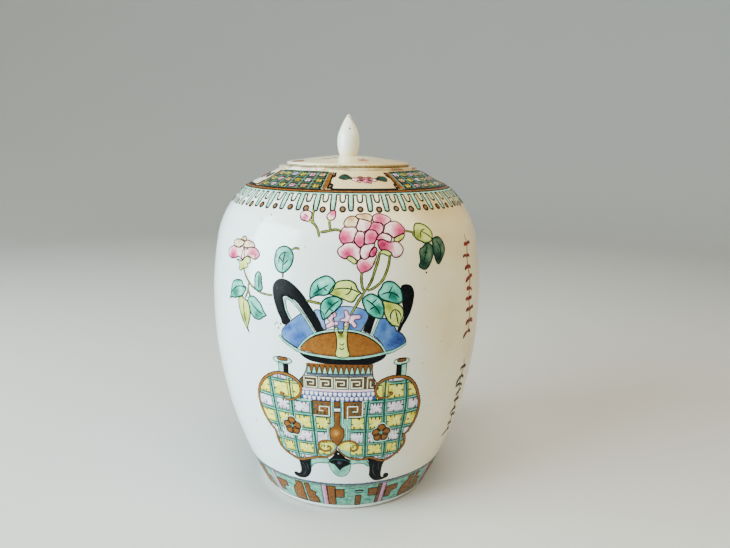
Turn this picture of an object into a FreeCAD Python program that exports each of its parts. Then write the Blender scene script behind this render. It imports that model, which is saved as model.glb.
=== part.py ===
"""A covered porcelain storage jar: a wheel-thrown jar in four luted sections and a loose lid in three.

Every section is a solid of revolution about +Z. The origin is the middle of the foot ring's underside.
Lengths are in millimetres.
"""

import FreeCAD, Part

import math
import os

import Sketcher

SHEET = "Dimensions"
AXIS_OF_HEIGHTS = -1  # a sketch's horizontal axis, where height is 0
AXIS_OF_RADII = -2  # a sketch's vertical axis, where radius is 0
START, END = 1, 2  # the ends of a sketch edge
LINE = None
TOUCH = 1e-3  # how near an edge has to lie to count as the one that is meant

DRIVING_DIMENSIONS = {
    # Jar, outside
    "belly_radius": 118.7,
    "belly_height": 170.0,  # the widest level, where the two thrown halves are luted together
    "lower_curve": 359.0,  # radius of the wall's arc from the foot to the belly
    "upper_curve": 320.0,  # radius of the wall's arc from the belly to the shoulder
    "shoulder_start": 226.4,
    "shoulder_curve": 74.3,
    "crease_height": 269.6,  # where the round shoulder turns into the flat sloping top
    # Jar, inside
    "wall": 6.0,
    "floor_thickness": 8.0,
    "floor_round": 20.0,
    # Foot ring
    "foot_height": 7.0,
    "foot_inner_radius": 67.0,
    "foot_chamfer": 1.2,
    # Mouth
    "mouth_radius": 44.0,
    "collar_radius": 60.0,
    "collar_base": 284.5,
    "collar_top": 286.6,
    "collar_round": 0.7,
    # Lid
    "seat_gap": 0.2,  # the unglazed grit between the lid and its seat
    "lid_radius": 53.5,
    "lid_edge": 2.9,
    "lid_edge_round": 1.2,
    "lid_dome_curve": 400.0,
    "lid_dome_top": 295.3,
    "lid_hollow_top": 289.9,
    # Locating flange under the lid
    "flange_radius": 42.4,
    "flange_inner_radius": 36.4,
    "flange_depth": 10.5,
    "flange_chamfer": 1.2,
    # Bud finial
    "finial_foot_radius": 7.5,
    "finial_radius": 9.7,
    "finial_widest": 307.0,
    "finial_curve": 31.0,
    "finial_shoulder": 313.0,
    "finial_tip_curve": 65.0,
    "finial_tip_radius": 0.7,
    "finial_top": 330.0,
}


class Size:
    """A length that carries its spreadsheet formula together with its present value."""

    def __init__(self, formula, value):
        self.formula = formula
        self.value = value

    def __add__(self, other):
        return Size(f"({self.formula} + {other.formula})", self.value + other.value)

    def __sub__(self, other):
        return Size(f"({self.formula} - {other.formula})", self.value - other.value)

    def __mul__(self, other):
        return Size(f"({self.formula} * {other.formula})", self.value * other.value)

    def __truediv__(self, other):
        return Size(f"({self.formula} / {other.formula})", self.value / other.value)

    def root(self):
        return Size(f"sqrt({self.formula})", math.sqrt(self.value))


NOTHING = Size("0", 0.0)
TWO = Size("2", 2.0)


def make_sheet(doc):
    """Writes the driving dimensions into a spreadsheet, one row each."""
    sheet = doc.addObject("Spreadsheet::Sheet", SHEET)
    for row, (alias, value) in enumerate(DRIVING_DIMENSIONS.items(), start=1):
        sheet.set(f"A{row}", alias)
        sheet.set(f"B{row}", str(value))
        sheet.setAlias(f"B{row}", alias)
    doc.recompute()
    return sheet


def dim(alias):
    return Size(f"{SHEET}.{alias}", DRIVING_DIMENSIONS[alias])


def cap_curve(rise, half_width):
    """The radius of the arc that is level at its top and this far across at its foot."""
    return (half_width * half_width / rise + rise) / TWO


def radius_on_arc(curve, centre_radius, centre_height, height):
    """The radius at a height of a wall that is an arc about a centre in the section."""
    rise = height - centre_height
    return centre_radius + (curve * curve - rise * rise).root()


class Wall:
    """The jar's wall in section, a chosen depth inside the outer surface: 0 for the outside."""

    def __init__(self, depth):
        lower, upper, shoulder = dim("lower_curve"), dim("upper_curve"), dim("shoulder_curve")
        self.lower = lower - depth
        self.upper = upper - depth
        self.shoulder = shoulder - depth
        self.lower_centre = dim("belly_radius") - lower
        self.upper_centre = dim("belly_radius") - upper
        self.belly = dim("belly_radius") - depth
        # The shoulder arc leaves the upper arc at a tangent, so its centre lies on the line
        # from the upper arc's centre to the point where the shoulder starts.
        rise = dim("shoulder_start") - dim("belly_height")
        run = (upper * upper - rise * rise).root()
        self.shoulder_centre = self.upper_centre + run - shoulder * run / upper
        self.shoulder_centre_height = dim("shoulder_start") - shoulder * rise / upper
        self.start_height = self.shoulder_centre_height + self.shoulder * rise / upper
        self.start_radius = self.shoulder_centre + self.shoulder * run / upper

    def below_belly(self, height):
        return radius_on_arc(self.lower, self.lower_centre, dim("belly_height"), height)

    def on_shoulder(self, height):
        return radius_on_arc(
            self.shoulder, self.shoulder_centre, self.shoulder_centre_height, height
        )


def centre_of_arc(start, end, curve):
    """The centre of the arc from start to end. A positive curve has its centre to the left of the way."""
    (x0, y0), (x1, y1) = start, end
    half = math.hypot(x1 - x0, y1 - y0) / 2
    offset = math.copysign(math.sqrt(curve * curve - half * half), curve)
    middle_x, middle_y = (x0 + x1) / 2, (y0 + y1) / 2
    return (
        middle_x - (y1 - y0) / (2 * half) * offset,
        middle_y + (x1 - x0) / (2 * half) * offset,
    )


def sketch_edge(start, end, curve):
    """A line, or a circular arc when a signed curve is given."""
    if curve is LINE:
        return Part.LineSegment(FreeCAD.Vector(*start, 0), FreeCAD.Vector(*end, 0))
    centre = centre_of_arc(start, end, curve.value)
    first, last = (start, end) if curve.value > 0 else (end, start)
    angles = [math.atan2(p[1] - centre[1], p[0] - centre[0]) for p in (first, last)]
    circle = Part.Circle(FreeCAD.Vector(*centre, 0), FreeCAD.Vector(0, 0, 1), abs(curve.value))
    return Part.ArcOfCircle(circle, *angles)


def bind(sketch, constraint, size):
    """Adds a dimension to the sketch and ties it to the spreadsheet."""
    index = sketch.addConstraint(constraint)
    sketch.setExpression(f"Constraints[{index}]", size.formula)


def fix_corner(sketch, edge, end, radius, height):
    """Dimensions one end of an edge from the axis and from the level of the foot."""
    if radius is NOTHING:
        sketch.addConstraint(Sketcher.Constraint("PointOnObject", edge, end, AXIS_OF_RADII))
    else:
        bind(sketch, Sketcher.Constraint("DistanceX", -1, 1, edge, end, radius.value), radius)
    if height is NOTHING:
        sketch.addConstraint(Sketcher.Constraint("PointOnObject", edge, end, AXIS_OF_HEIGHTS))
    else:
        bind(sketch, Sketcher.Constraint("DistanceY", -1, 1, edge, end, height.value), height)


def make_section(doc, label, corners):
    """A body turned about the axis from corners, each (radius, height, curve to the next corner)."""
    body = doc.addObject("PartDesign::Body", label.title().replace("_", ""))
    body.Label = label
    plane = next(o for o in body.Origin.OriginFeatures if o.Role == "XZ_Plane")
    sketch = body.newObject("Sketcher::SketchObject", f"{body.Name}Section")
    sketch.AttachmentSupport = [(plane, "")]
    sketch.MapMode = "FlatFace"
    points = [(radius.value, height.value) for radius, height, _ in corners]
    ends = []
    for i, (_, _, curve) in enumerate(corners):
        sketch.addGeometry(sketch_edge(points[i], points[(i + 1) % len(points)], curve), False)
        turned = curve is not LINE and curve.value < 0
        ends.append((END, START) if turned else (START, END))
    for i, (radius, height, curve) in enumerate(corners):
        following = (i + 1) % len(corners)
        sketch.addConstraint(
            Sketcher.Constraint("Coincident", i, ends[i][1], following, ends[following][0])
        )
        fix_corner(sketch, i, ends[i][0], radius, height)
        if curve is not LINE:
            length = curve if curve.value > 0 else NOTHING - curve
            bind(sketch, Sketcher.Constraint("Radius", i, length.value), length)
    turning = body.newObject("PartDesign::Revolution", f"{body.Name}Turning")
    turning.Profile = sketch
    turning.ReferenceAxis = (sketch, ["V_Axis"])
    turning.Angle = 360.0
    sketch.Visibility = False
    doc.recompute()
    return body


def circle_names(shape, places):
    """The names of the shape's circular edges at the given (radius, height) places."""
    names = []
    for radius, height in places:
        found = [
            f"Edge{i}"
            for i, edge in enumerate(shape.Edges, start=1)
            if not edge.Degenerated
            and isinstance(edge.Curve, Part.Circle)
            and abs(edge.Curve.Radius - radius.value) < TOUCH
            and abs(edge.Curve.Center.z - height.value) < TOUCH
        ]
        if len(found) != 1:
            raise RuntimeError(f"expected one edge at {radius.value}, {height.value}: {found}")
        names += found
    return names


def dress_edges(doc, body, kind, size, places):
    """Rounds ("Fillet") or bevels ("Chamfer") the body's circular edges at (radius, height) places."""
    base = body.Tip
    dressing = body.newObject(f"PartDesign::{kind}", f"{body.Name}{kind}")
    dressing.Base = (base, circle_names(base.Shape, places))
    dressing.setExpression("Radius" if kind == "Fillet" else "Size", size.formula)
    base.Visibility = False
    body.Tip = dressing
    doc.recompute()
    return body


def make_foot_ring(doc, outer):
    """The turned ring that the jar stands on, with a bevelled, unglazed edge."""
    inner, top = dim("foot_inner_radius"), dim("foot_height")
    bottom_radius = outer.below_belly(NOTHING)
    body = make_section(
        doc,
        "foot_ring",
        [
            (inner, NOTHING, LINE),
            (bottom_radius, NOTHING, outer.lower),
            (outer.below_belly(top), top, LINE),
            (inner, top, LINE),
        ],
    )
    rim = [(bottom_radius, NOTHING), (inner, NOTHING)]
    return dress_edges(doc, body, "Chamfer", dim("foot_chamfer"), rim)


def make_lower_body(doc, outer, inner):
    """The lower thrown half: the base and the wall up to the belly."""
    base, belly = dim("foot_height"), dim("belly_height")
    floor = base + dim("floor_thickness")
    floor_radius = inner.below_belly(floor)
    body = make_section(
        doc,
        "lower_body",
        [
            (NOTHING, base, LINE),
            (outer.below_belly(base), base, outer.lower),
            (outer.belly, belly, LINE),
            (inner.belly, belly, NOTHING - inner.lower),
            (floor_radius, floor, LINE),
            (NOTHING, floor, LINE),
        ],
    )
    return dress_edges(doc, body, "Fillet", dim("floor_round"), [(floor_radius, floor)])


def make_upper_body(doc, outer, inner):
    """The upper thrown half: the wall above the belly, the shoulder and the sloping top."""
    belly, crease, ledge = dim("belly_height"), dim("crease_height"), dim("collar_base")
    inner_crease, underside = crease - dim("wall"), ledge - dim("wall")
    mouth, collar = dim("mouth_radius"), dim("collar_radius")
    return make_section(
        doc,
        "upper_body",
        [
            (outer.belly, belly, outer.upper),
            (outer.start_radius, outer.start_height, outer.shoulder),
            (outer.on_shoulder(crease), crease, LINE),
            (collar, ledge, LINE),
            (mouth, ledge, LINE),
            (mouth, underside, LINE),
            (collar, underside, LINE),
            (inner.on_shoulder(inner_crease), inner_crease, NOTHING - inner.shoulder),
            (inner.start_radius, inner.start_height, NOTHING - inner.upper),
            (inner.belly, belly, LINE),
        ],
    )


def make_mouth_collar(doc):
    """The low raised ring round the mouth, on which the lid rests."""
    bottom, top = dim("collar_base"), dim("collar_top")
    mouth, collar = dim("mouth_radius"), dim("collar_radius")
    body = make_section(
        doc,
        "mouth_collar",
        [(mouth, bottom, LINE), (collar, bottom, LINE), (collar, top, LINE), (mouth, top, LINE)],
    )
    return dress_edges(doc, body, "Fillet", dim("collar_round"), [(collar, top), (mouth, top)])


def make_lid_cap(doc, seat):
    """The low domed cover, flat where it rests and hollowed inside its flange."""
    edge_top, dome_top = seat + dim("lid_edge"), dim("lid_dome_top")
    rim, land = dim("lid_radius"), dim("finial_foot_radius")
    hollow_top, hollow_radius = dim("lid_hollow_top"), dim("flange_inner_radius")
    hollow_curve = cap_curve(hollow_top - seat, hollow_radius)
    body = make_section(
        doc,
        "lid_cap",
        [
            (NOTHING, hollow_top, NOTHING - hollow_curve),
            (hollow_radius, seat, LINE),
            (rim, seat, LINE),
            (rim, edge_top, dim("lid_dome_curve")),
            (land, dome_top, LINE),
            (NOTHING, dome_top, LINE),
        ],
    )
    return dress_edges(doc, body, "Fillet", dim("lid_edge_round"), [(rim, seat), (rim, edge_top)])


def make_lid_flange(doc, seat):
    """The ring under the lid that drops into the mouth and keeps the lid in place."""
    bottom = seat - dim("flange_depth")
    outer, inner = dim("flange_radius"), dim("flange_inner_radius")
    body = make_section(
        doc,
        "lid_flange",
        [(inner, bottom, LINE), (outer, bottom, LINE), (outer, seat, LINE), (inner, seat, LINE)],
    )
    bevel = dim("flange_chamfer")
    return dress_edges(doc, body, "Chamfer", bevel, [(outer, bottom), (inner, bottom)])


def make_lid_finial(doc):
    """The pointed bud that the lid is lifted by."""
    base, widest, shoulder = dim("lid_dome_top"), dim("finial_widest"), dim("finial_shoulder")
    foot, belly, top = dim("finial_foot_radius"), dim("finial_radius"), dim("finial_top")
    centre = belly - dim("finial_curve")
    shoulder_radius = radius_on_arc(dim("finial_curve"), centre, widest, shoulder)
    # The swelling below the widest level is an arc that meets it upright.
    swell_curve = cap_curve(belly - foot, widest - base)
    return make_section(
        doc,
        "lid_finial",
        [
            (NOTHING, base, LINE),
            (foot, base, swell_curve),
            (belly, widest, dim("finial_curve")),
            (shoulder_radius, shoulder, dim("finial_tip_curve")),
            (dim("finial_tip_radius"), top, LINE),
            (NOTHING, top, LINE),
        ],
    )


def check(doc, bodies):
    """Stops before anything is written if a feature failed or a solid is unsound."""
    for feature in doc.Objects:
        faults = {"Invalid", "Error"} & set(feature.State)
        if faults:
            raise RuntimeError(f"{feature.Label}: {faults}")
    for body in bodies:
        shape = body.Shape
        if shape.isNull() or not shape.isValid() or len(shape.Solids) != 1:
            raise RuntimeError(f"{body.Label} is not one sound solid")


def main():
    doc = FreeCAD.newDocument("CoveredJar")
    make_sheet(doc)
    outer, inner = Wall(NOTHING), Wall(dim("wall"))
    seat = dim("collar_top") + dim("seat_gap")
    bodies = [
        make_foot_ring(doc, outer),
        make_lower_body(doc, outer, inner),
        make_upper_body(doc, outer, inner),
        make_mouth_collar(doc),
        make_lid_cap(doc, seat),
        make_lid_flange(doc, seat),
        make_lid_finial(doc),
    ]
    check(doc, bodies)
    os.makedirs("parts", exist_ok=True)
    for body in bodies:
        box = body.Shape.optimalBoundingBox()
        body.Shape.exportStep(f"parts/{body.Label}.step")
        print(
            f"{body.Label}: {body.Shape.Volume / 1000:.1f} cm3,"
            f" radius {box.XMax:.2f}, height {box.ZMin:.2f} to {box.ZMax:.2f}"
        )


main()
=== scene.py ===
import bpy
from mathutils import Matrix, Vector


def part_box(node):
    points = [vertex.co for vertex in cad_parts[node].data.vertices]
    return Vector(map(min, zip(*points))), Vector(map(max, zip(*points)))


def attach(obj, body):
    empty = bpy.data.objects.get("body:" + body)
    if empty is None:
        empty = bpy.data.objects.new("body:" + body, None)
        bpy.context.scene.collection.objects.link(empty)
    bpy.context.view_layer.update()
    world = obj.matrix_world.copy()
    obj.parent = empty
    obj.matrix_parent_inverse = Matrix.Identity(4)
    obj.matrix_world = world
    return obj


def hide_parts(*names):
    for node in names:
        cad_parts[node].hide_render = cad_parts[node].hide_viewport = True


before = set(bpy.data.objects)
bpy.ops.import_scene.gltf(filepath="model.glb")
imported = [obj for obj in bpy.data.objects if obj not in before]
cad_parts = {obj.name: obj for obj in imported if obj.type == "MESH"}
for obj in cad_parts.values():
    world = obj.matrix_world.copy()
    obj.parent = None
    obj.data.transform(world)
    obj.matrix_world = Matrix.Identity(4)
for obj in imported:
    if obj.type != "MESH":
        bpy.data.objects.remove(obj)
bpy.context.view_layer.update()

import math
import random

import bpy
import numpy as np
from mathutils import Matrix, Vector
from mathutils.geometry import delaunay_2d_cdt

MM = 0.001
JAR, LID = "jar", "lid"
RNG = random.Random(7)

# ---------------------------------------------------------------- smooth lines


def hermite(points, closed, spacing):
    """Extra points on a smooth line through the given ones. A repeated point is a corner."""
    points = np.asarray(points, float)
    count = len(points)
    out = []
    for i in range(count if closed else count - 1):
        p1, p2 = points[i], points[(i + 1) % count]
        chord = np.linalg.norm(p2 - p1)
        if chord < 1e-9:
            continue
        p0 = points[i - 1] if i or closed else p1
        p3 = points[(i + 2) % count] if closed or i + 2 < count else p2
        m1, m2 = slope(p0, p1, p2), slope(p1, p2, p3)
        if np.allclose(p0, p1):
            m1 = reflect(m2, p2 - p1)
        if np.allclose(p2, p3):
            m2 = reflect(m1, p2 - p1)
        if np.allclose(p0, p1) and np.allclose(p2, p3):
            m1 = m2 = (p2 - p1) / chord
        pieces = max(1, int(math.ceil(chord / spacing)))
        t = (np.arange(pieces) / pieces)[:, None]
        out.append(
            (2 * t**3 - 3 * t**2 + 1) * p1
            + (t**3 - 2 * t**2 + t) * m1 * chord
            + (-2 * t**3 + 3 * t**2) * p2
            + (t**3 - t**2) * m2 * chord
        )
    if not closed:
        out.append(points[-1:])
    return np.vstack(out)


def slope(before, here, after):
    """The unit tangent of the circle through three points, at the middle one."""
    a, b = here - before, after - here
    la, lb = np.linalg.norm(a), np.linalg.norm(b)
    if la < 1e-9 or lb < 1e-9:
        whole = a + b
        return whole / max(np.linalg.norm(whole), 1e-9)
    mixed = a / la * lb + b / lb * la
    return mixed / max(np.linalg.norm(mixed), 1e-9)


def reflect(tangent, chord):
    unit = chord / np.linalg.norm(chord)
    return 2 * np.dot(unit, tangent) * unit - tangent


# ---------------------------------------------------------------- turned pieces

SEAM = 1e-7  # metres: how near the cutting plane a corner of the section lies
LEVEL = 2e-6  # metres: how little an edge rises where it counts as level
CORNER = math.radians(11)  # sharper turns than this are real corners, not facets
SHARP = math.radians(38)  # edges sharper than this aren't shaded smooth
FINE, COARSE = 0.001, 0.0025  # metres between points along an outline


def section(node):
    """A node's outline at y = 0, x > 0: ordered (radius, height) corners in metres."""
    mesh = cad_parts[node].data
    places = {
        v.index: (round(max(v.co.x, 0.0), 7), round(v.co.z, 7))
        for v in mesh.vertices
        if abs(v.co.y) < SEAM and v.co.x > -SEAM
    }
    links = {place: set() for place in places.values()}
    for edge in mesh.edges:
        a, b = (places.get(i) for i in edge.vertices)
        if a and b and a != b:
            links[a].add(b)
            links[b].add(a)
    here = min(links)
    path, left = [here], set(links) - {here}
    while left:
        near = sorted(links[here] & left) or sorted(p for p in left if abs(p[1] - here[1]) < LEVEL)
        here = min(near or left, key=lambda p: math.dist(p, here))
        path.append(here)
        left.discard(here)
    first, last = path[0], path[-1]
    if first not in links[last] and abs(first[1] - last[1]) > LEVEL:
        path = ([(0.0, first[1])] if first[0] > 0 else []) + path + [(0.0, last[1])]
    return path


def smooth_outline(path, closed, spacing):
    """Rounds out the section's facets between its real corners."""
    points = np.array(path)
    count = len(points)
    doubled = []
    for i, point in enumerate(points):
        doubled.append(point)
        inner = closed or 0 < i < count - 1
        if inner:
            a, b = point - points[i - 1], points[(i + 1) % count] - point
            turn = math.acos(np.clip(np.dot(a, b) / np.linalg.norm(a) / np.linalg.norm(b), -1, 1))
            flat = abs(a[1]) < LEVEL or abs(b[1]) < LEVEL
            if turn > CORNER or flat:
                doubled.append(point)
    return hermite(doubled, closed, spacing)


def new_mesh(name, verts, faces, tones=None):
    mesh = bpy.data.meshes.new(name)
    mesh.from_pydata([tuple(v) for v in verts], [], faces)
    if tones is not None:
        mesh.attributes.new("tone", "FLOAT", "POINT").data.foreach_set(
            "value", np.asarray(tones, np.float32)
        )
    mesh.shade_smooth()
    mesh.set_sharp_from_angle(angle=SHARP)
    piece = bpy.data.objects.new(name, mesh)
    bpy.context.collection.objects.link(piece)
    return piece


def turned(name, node, body, material, around=360, spacing=COARSE):
    """A smooth turned piece that stands for a CAD node."""
    path = section(node)
    closed = path[0][0] > 0
    outline = smooth_outline(path, closed, spacing)
    following = np.roll(outline, -1, axis=0)
    area = np.sum(outline[:, 0] * following[:, 1] - following[:, 0] * outline[:, 1])
    if area < 0:
        outline = outline[::-1]
    angles = np.arange(around) * 2 * math.pi / around
    ring = np.stack([np.cos(angles), np.sin(angles)], -1)
    verts, starts, faces = [], [], []
    for radius, height in outline:
        starts.append((len(verts), radius > 1e-9))
        if radius > 1e-9:
            verts += [(radius * x, radius * y, height) for x, y in ring]
        else:
            verts.append((0.0, 0.0, height))
    pairs = list(zip(starts, starts[1:]))
    if closed:
        pairs.append((starts[-1], starts[0]))
    for (a, wide_a), (b, wide_b) in pairs:
        for k in range(around):
            n = (k + 1) % around
            if wide_a and wide_b:
                faces.append((a + k, a + n, b + n, b + k))
            elif wide_b:
                faces.append((a, b + n, b + k))
            elif wide_a:
                faces.append((a + k, a + n, b))
    piece = new_mesh(name, verts, faces)
    piece.data.materials.append(material)
    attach(piece, body)
    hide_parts(node)


# ------------------------------------------------------------ the jar's wall as a sheet to paint on

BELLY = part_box("lower_body")[1][0] / MM
WALL_TOP = 317.1  # the collar's foot, in mm along the wall from the foot
INSIDE_MOUTH = 50  # mm: smaller radii at the top belong to the mouth
INSIDE_COLLAR = 59  # mm: smaller radii at the top lie under the collar


def wall_curve():
    """The jar's outer line from foot to collar: distance along it, radius and height in mm."""
    points = []
    for node in ("foot_ring", "lower_body", "upper_body"):
        path = section(node)
        points += list(smooth_outline(path, path[0][0] > 0, COARSE) / MM)
    points = sorted({(round(z, 4), round(r, 4)) for r, z in points})
    # the outer line is convex, so its hull leaves out the inner points of the joints
    hull = []
    for point in points:
        while len(hull) > 1:
            (z0, r0), (z1, r1) = hull[-2:]
            if (z1 - z0) * (point[1] - r0) - (r1 - r0) * (point[0] - z0) >= 0:
                hull.pop()
            else:
                break
        hull.append(point)
    top = max(z for z, r in hull)
    while hull[-1][1] < INSIDE_MOUTH:
        hull.pop()
    z, r = np.array(hull).T
    keep = (z <= top - 1) | (r > INSIDE_COLLAR)
    z, r = z[keep], r[keep]
    along = np.concatenate([[0], np.cumsum(np.hypot(np.diff(z), np.diff(r)))])
    return along + WALL_TOP - along[-1], r, z


WALL_S, WALL_R, WALL_Z = wall_curve()


def on_wall(points, lift):
    """Places (across, up) in mm on the jar: across is measured round the belly from the front's
    middle, up along the wall from the foot. lift is the height above the glaze in mm."""
    u, s = points[:, 0] / BELLY, points[:, 1]
    r, z = np.interp(s, WALL_S, WALL_R), np.interp(s, WALL_S, WALL_Z)
    above, below = s + 0.6, s - 0.6
    dr = np.interp(above, WALL_S, WALL_R) - np.interp(below, WALL_S, WALL_R)
    dz = np.interp(above, WALL_S, WALL_Z) - np.interp(below, WALL_S, WALL_Z)
    length = np.hypot(dr, dz)
    r, z = r + lift * dz / length, z - lift * dr / length
    return np.stack([r * np.sin(u), -r * np.cos(u), z], -1) * MM


def lid_curve():
    """The top of the lid's dome from its middle to its edge: radius and height in mm."""
    path = section("lid_cap")
    dome = smooth_outline(path, path[0][0] > 0, COARSE) / MM
    top = dome[dome[:, 1] > dome[:, 1].max() - 6]
    top = top[np.argsort(top[:, 0])]
    underside = np.interp(top[:, 0], [0, 53.5], [290.5, 288.9])
    keep = top[:, 1] > underside
    return top[keep]


DOME = lid_curve()


def lid_edge():
    """The lid's outermost upright edge: radius at each height, in mm."""
    path = section("lid_cap")
    line = smooth_outline(path, path[0][0] > 0, 0.0003) / MM
    outer = line[line[:, 0] > line[:, 0].max() - 1.3]
    outer = outer[np.argsort(outer[:, 1])]
    return outer


EDGE = lid_edge()
EDGE_LOW = float(EDGE[0, 1])


def on_lid(points, lift):
    """Places (right, back) in mm on the lid's dome, seen from above."""
    r = np.hypot(points[:, 0], points[:, 1])
    z = np.interp(r, DOME[:, 0], DOME[:, 1]) + lift
    return np.stack([points[:, 0], points[:, 1], z], -1) * MM


# ---------------------------------------------------------------- enamel

SUNK = -0.04  # mm, where an enamel's edge dips into the glaze
BEVEL = 0.35  # mm, how far in from its edge an enamel reaches its full height
LIFTS = (0.06, 0.10, 0.14, 0.18, 0.22, 0.26, 0.30)  # mm above the glaze, one for each level
ROW_STEP = 0.866  # row spacing of a triangular grid, as a share of its step
FLAT_TOP = 0.37  # half the flat part of a brush stroke, as a share of its width


def inside(points, outline):
    """Which points lie inside a closed outline."""
    x, y = points[:, 0][:, None], points[:, 1][:, None]
    x0, y0 = outline[:, 0], outline[:, 1]
    x1, y1 = np.roll(x0, -1), np.roll(y0, -1)
    crosses = (y0 > y) != (y1 > y)
    at = x0 + (y - y0) * (x1 - x0) / np.where(y1 == y0, 1e-12, y1 - y0)
    return (np.sum(crosses & (x < at), axis=1) % 2).astype(bool)


def edge_distance(points, outline):
    """How far each point is from a closed outline."""
    a, b = outline, np.roll(outline, -1, axis=0)
    ab = b - a
    t = np.einsum("pij,ij->pi", points[:, None] - a, ab) / np.maximum(np.sum(ab**2, 1), 1e-12)
    t = np.clip(t, 0, 1)[..., None]
    return np.min(np.linalg.norm(points[:, None] - (a + t * ab), axis=2), axis=1)


# A tone is a function of a patch's points and their distances from its edge. 0 is the deepest
# colour of an enamel and 1 the palest.


def fade(depth, edge=0.0, middle=1.0):
    """Tone that changes from the edge of a patch to its middle."""
    return lambda p, d: edge + (middle - edge) * np.clip(d / depth, 0, 1)


def glow(centre, radius, near=1.0, far=0.0):
    """Tone that changes with the distance from a point."""
    centre = np.array(centre, float)

    def tone(p, d):
        t = np.clip(np.hypot(*(p - centre).T) / radius, 0, 1)
        return near + (far - near) * t * t * (3 - 2 * t)

    return tone


def flat(value):
    return lambda p, d: np.full(len(p), value)


class Enamel:
    """One raised enamel colour of one motif, gathered into one closed mesh."""

    def __init__(self, name, material, slot, body, place, move):
        self.name, self.material, self.slot, self.body = name, material, slot, body
        self.place, self.move = place, move or (lambda p: p)
        self.verts, self.faces, self.tones = [], [], []

    def add(self, points, lifts, faces, tones):
        """Adds a closed surface whose points are flat places with heights above the glaze."""
        start = sum(len(v) for v in self.verts)
        moved = self.move(points)
        self.verts.append(self.place(moved, lifts))
        if self.flipped():
            faces = [face[::-1] for face in faces]
        self.faces += [tuple(start + i for i in face) for face in faces]
        self.tones.append(tones)

    def flipped(self):
        """Whether the move turns the picture over."""
        o, x, y = self.move(np.array([[0.0, 0.0], [1.0, 0.0], [0.0, 1.0]]))
        return np.cross(x - o, y - o) < 0

    def patch(self, outline, level=0, tone=flat(0.5), step=2.6, edge=1.1, smooth=True):
        """A filled shape."""
        outline = hermite(outline, True, edge) if smooth else divided(outline, edge)
        turning = np.sum(
            outline[:, 0] * np.roll(outline[:, 1], -1) - np.roll(outline[:, 0], -1) * outline[:, 1]
        )
        if turning < 0:
            outline = outline[::-1]
        ahead = np.roll(outline, -1, axis=0) - np.roll(outline, 1, axis=0)
        ahead /= np.maximum(np.linalg.norm(ahead, axis=1), 1e-9)[:, None]
        ring = outline + np.stack([-ahead[:, 1], ahead[:, 0]], -1) * BEVEL
        low, high = outline.min(0), outline.max(0)
        rows = []
        y, odd = low[1] + step * 0.4, False
        while y < high[1]:
            x = np.arange(low[0] + (step / 2 if odd else 0), high[0], step)
            rows.append(np.stack([x, np.full_like(x, y)], -1))
            y, odd = y + step * ROW_STEP, not odd
        grid = np.vstack(rows) if rows else np.zeros((0, 2))
        ring = ring[inside(ring, outline)]
        if len(ring):
            ring = ring[edge_distance(ring, outline) > BEVEL * 0.7]
        grid = grid[inside(grid, outline)]
        if len(grid):
            grid = grid[edge_distance(grid, outline) > BEVEL + step * 0.3]
        points = np.vstack([outline, ring, grid])
        result = delaunay_2d_cdt(
            [Vector(p) for p in points], [], [list(range(len(outline)))], 1, 1e-5, True
        )
        found, faces, sources = np.array([tuple(v) for v in result[0]]), result[2], result[3]
        rim = np.array([not ids or min(ids) < len(outline) for ids in sources])
        depth = edge_distance(found, outline)
        lifts = np.where(rim, SUNK, LIFTS[level])
        tones = np.clip(tone(found, depth), 0, 1)
        under = delaunay_2d_cdt(
            [Vector(p) for p in outline], [], [list(range(len(outline)))], 1, 1e-5, True
        )
        rims = np.flatnonzero(rim)
        same = [
            int(rims[np.argmin(np.sum((found[rims] - tuple(v)) ** 2, axis=1))])
            for v in under[0]
        ]
        sheet = [tuple(face) for face in faces] + [
            tuple(same[i] for i in reversed(face))
            for face in under[2]
        ]
        self.add(found, lifts, [face for face in sheet if len(set(face)) == len(face)], tones)

    def line(
        self, points, width=0.9, level=1, tone=0.5, taper=0.35, closed=False, step=1.3, smooth=True,
        ragged=0.12
    ):
        """A brush stroke, thin at its ends."""
        path = hermite(points, closed, step) if smooth else divided(points, step, closed)
        count = len(path)
        if closed:
            ahead = np.roll(path, -1, axis=0) - np.roll(path, 1, axis=0)
        else:
            ahead = np.gradient(path, axis=0)
        ahead /= np.maximum(np.linalg.norm(ahead, axis=1), 1e-9)[:, None]
        side = np.stack([ahead[:, 1], -ahead[:, 0]], -1)
        t = np.arange(count) / max(count - 1, 1)
        swell = np.ones(count) if closed else taper + (1 - taper) * np.minimum(
            1, np.minimum(t, 1 - t) * 6
        ) ** 0.6
        swell = swell * (1 + ragged * np.array([RNG.uniform(-1, 1) for _ in range(count)]))
        top = LIFTS[level]
        across = ((-0.5, SUNK), (-FLAT_TOP, top), (FLAT_TOP, top), (0.5, SUNK))
        points, lifts = [], []
        for offset, lift in across:
            points.append(path + side * (offset * width * swell)[:, None])
            lifts.append(np.full(count, lift))
        faces = []
        for i in range(count if closed else count - 1):
            j = (i + 1) % count
            for k in range(4):
                n = (k + 1) % 4
                faces.append((k * count + i, n * count + i, n * count + j, k * count + j))
        if not closed:
            faces.append(tuple(k * count for k in (3, 2, 1, 0)))
            faces.append(tuple(k * count + count - 1 for k in range(4)))
        faces = [f[::-1] for f in faces]
        self.add(np.vstack(points), np.concatenate(lifts), faces, np.full(4 * count, tone))

    def dot(self, centre, radius, level=1, tone=0.5, squash=1.0):
        turns = np.linspace(0, 2 * math.pi, 9)[:-1]
        ring = [
            (centre[0] + radius * math.cos(a), centre[1] + radius * squash * math.sin(a))
            for a in turns
        ]
        self.patch(
            ring, level, flat(tone), step=max(radius * 0.7, 0.4), edge=max(radius * 0.5, 0.25)
        )

    def build(self):
        piece = new_mesh(self.name, np.vstack(self.verts), self.faces, np.concatenate(self.tones))
        piece.data.materials.append(self.material)
        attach(piece, self.body)


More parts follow.
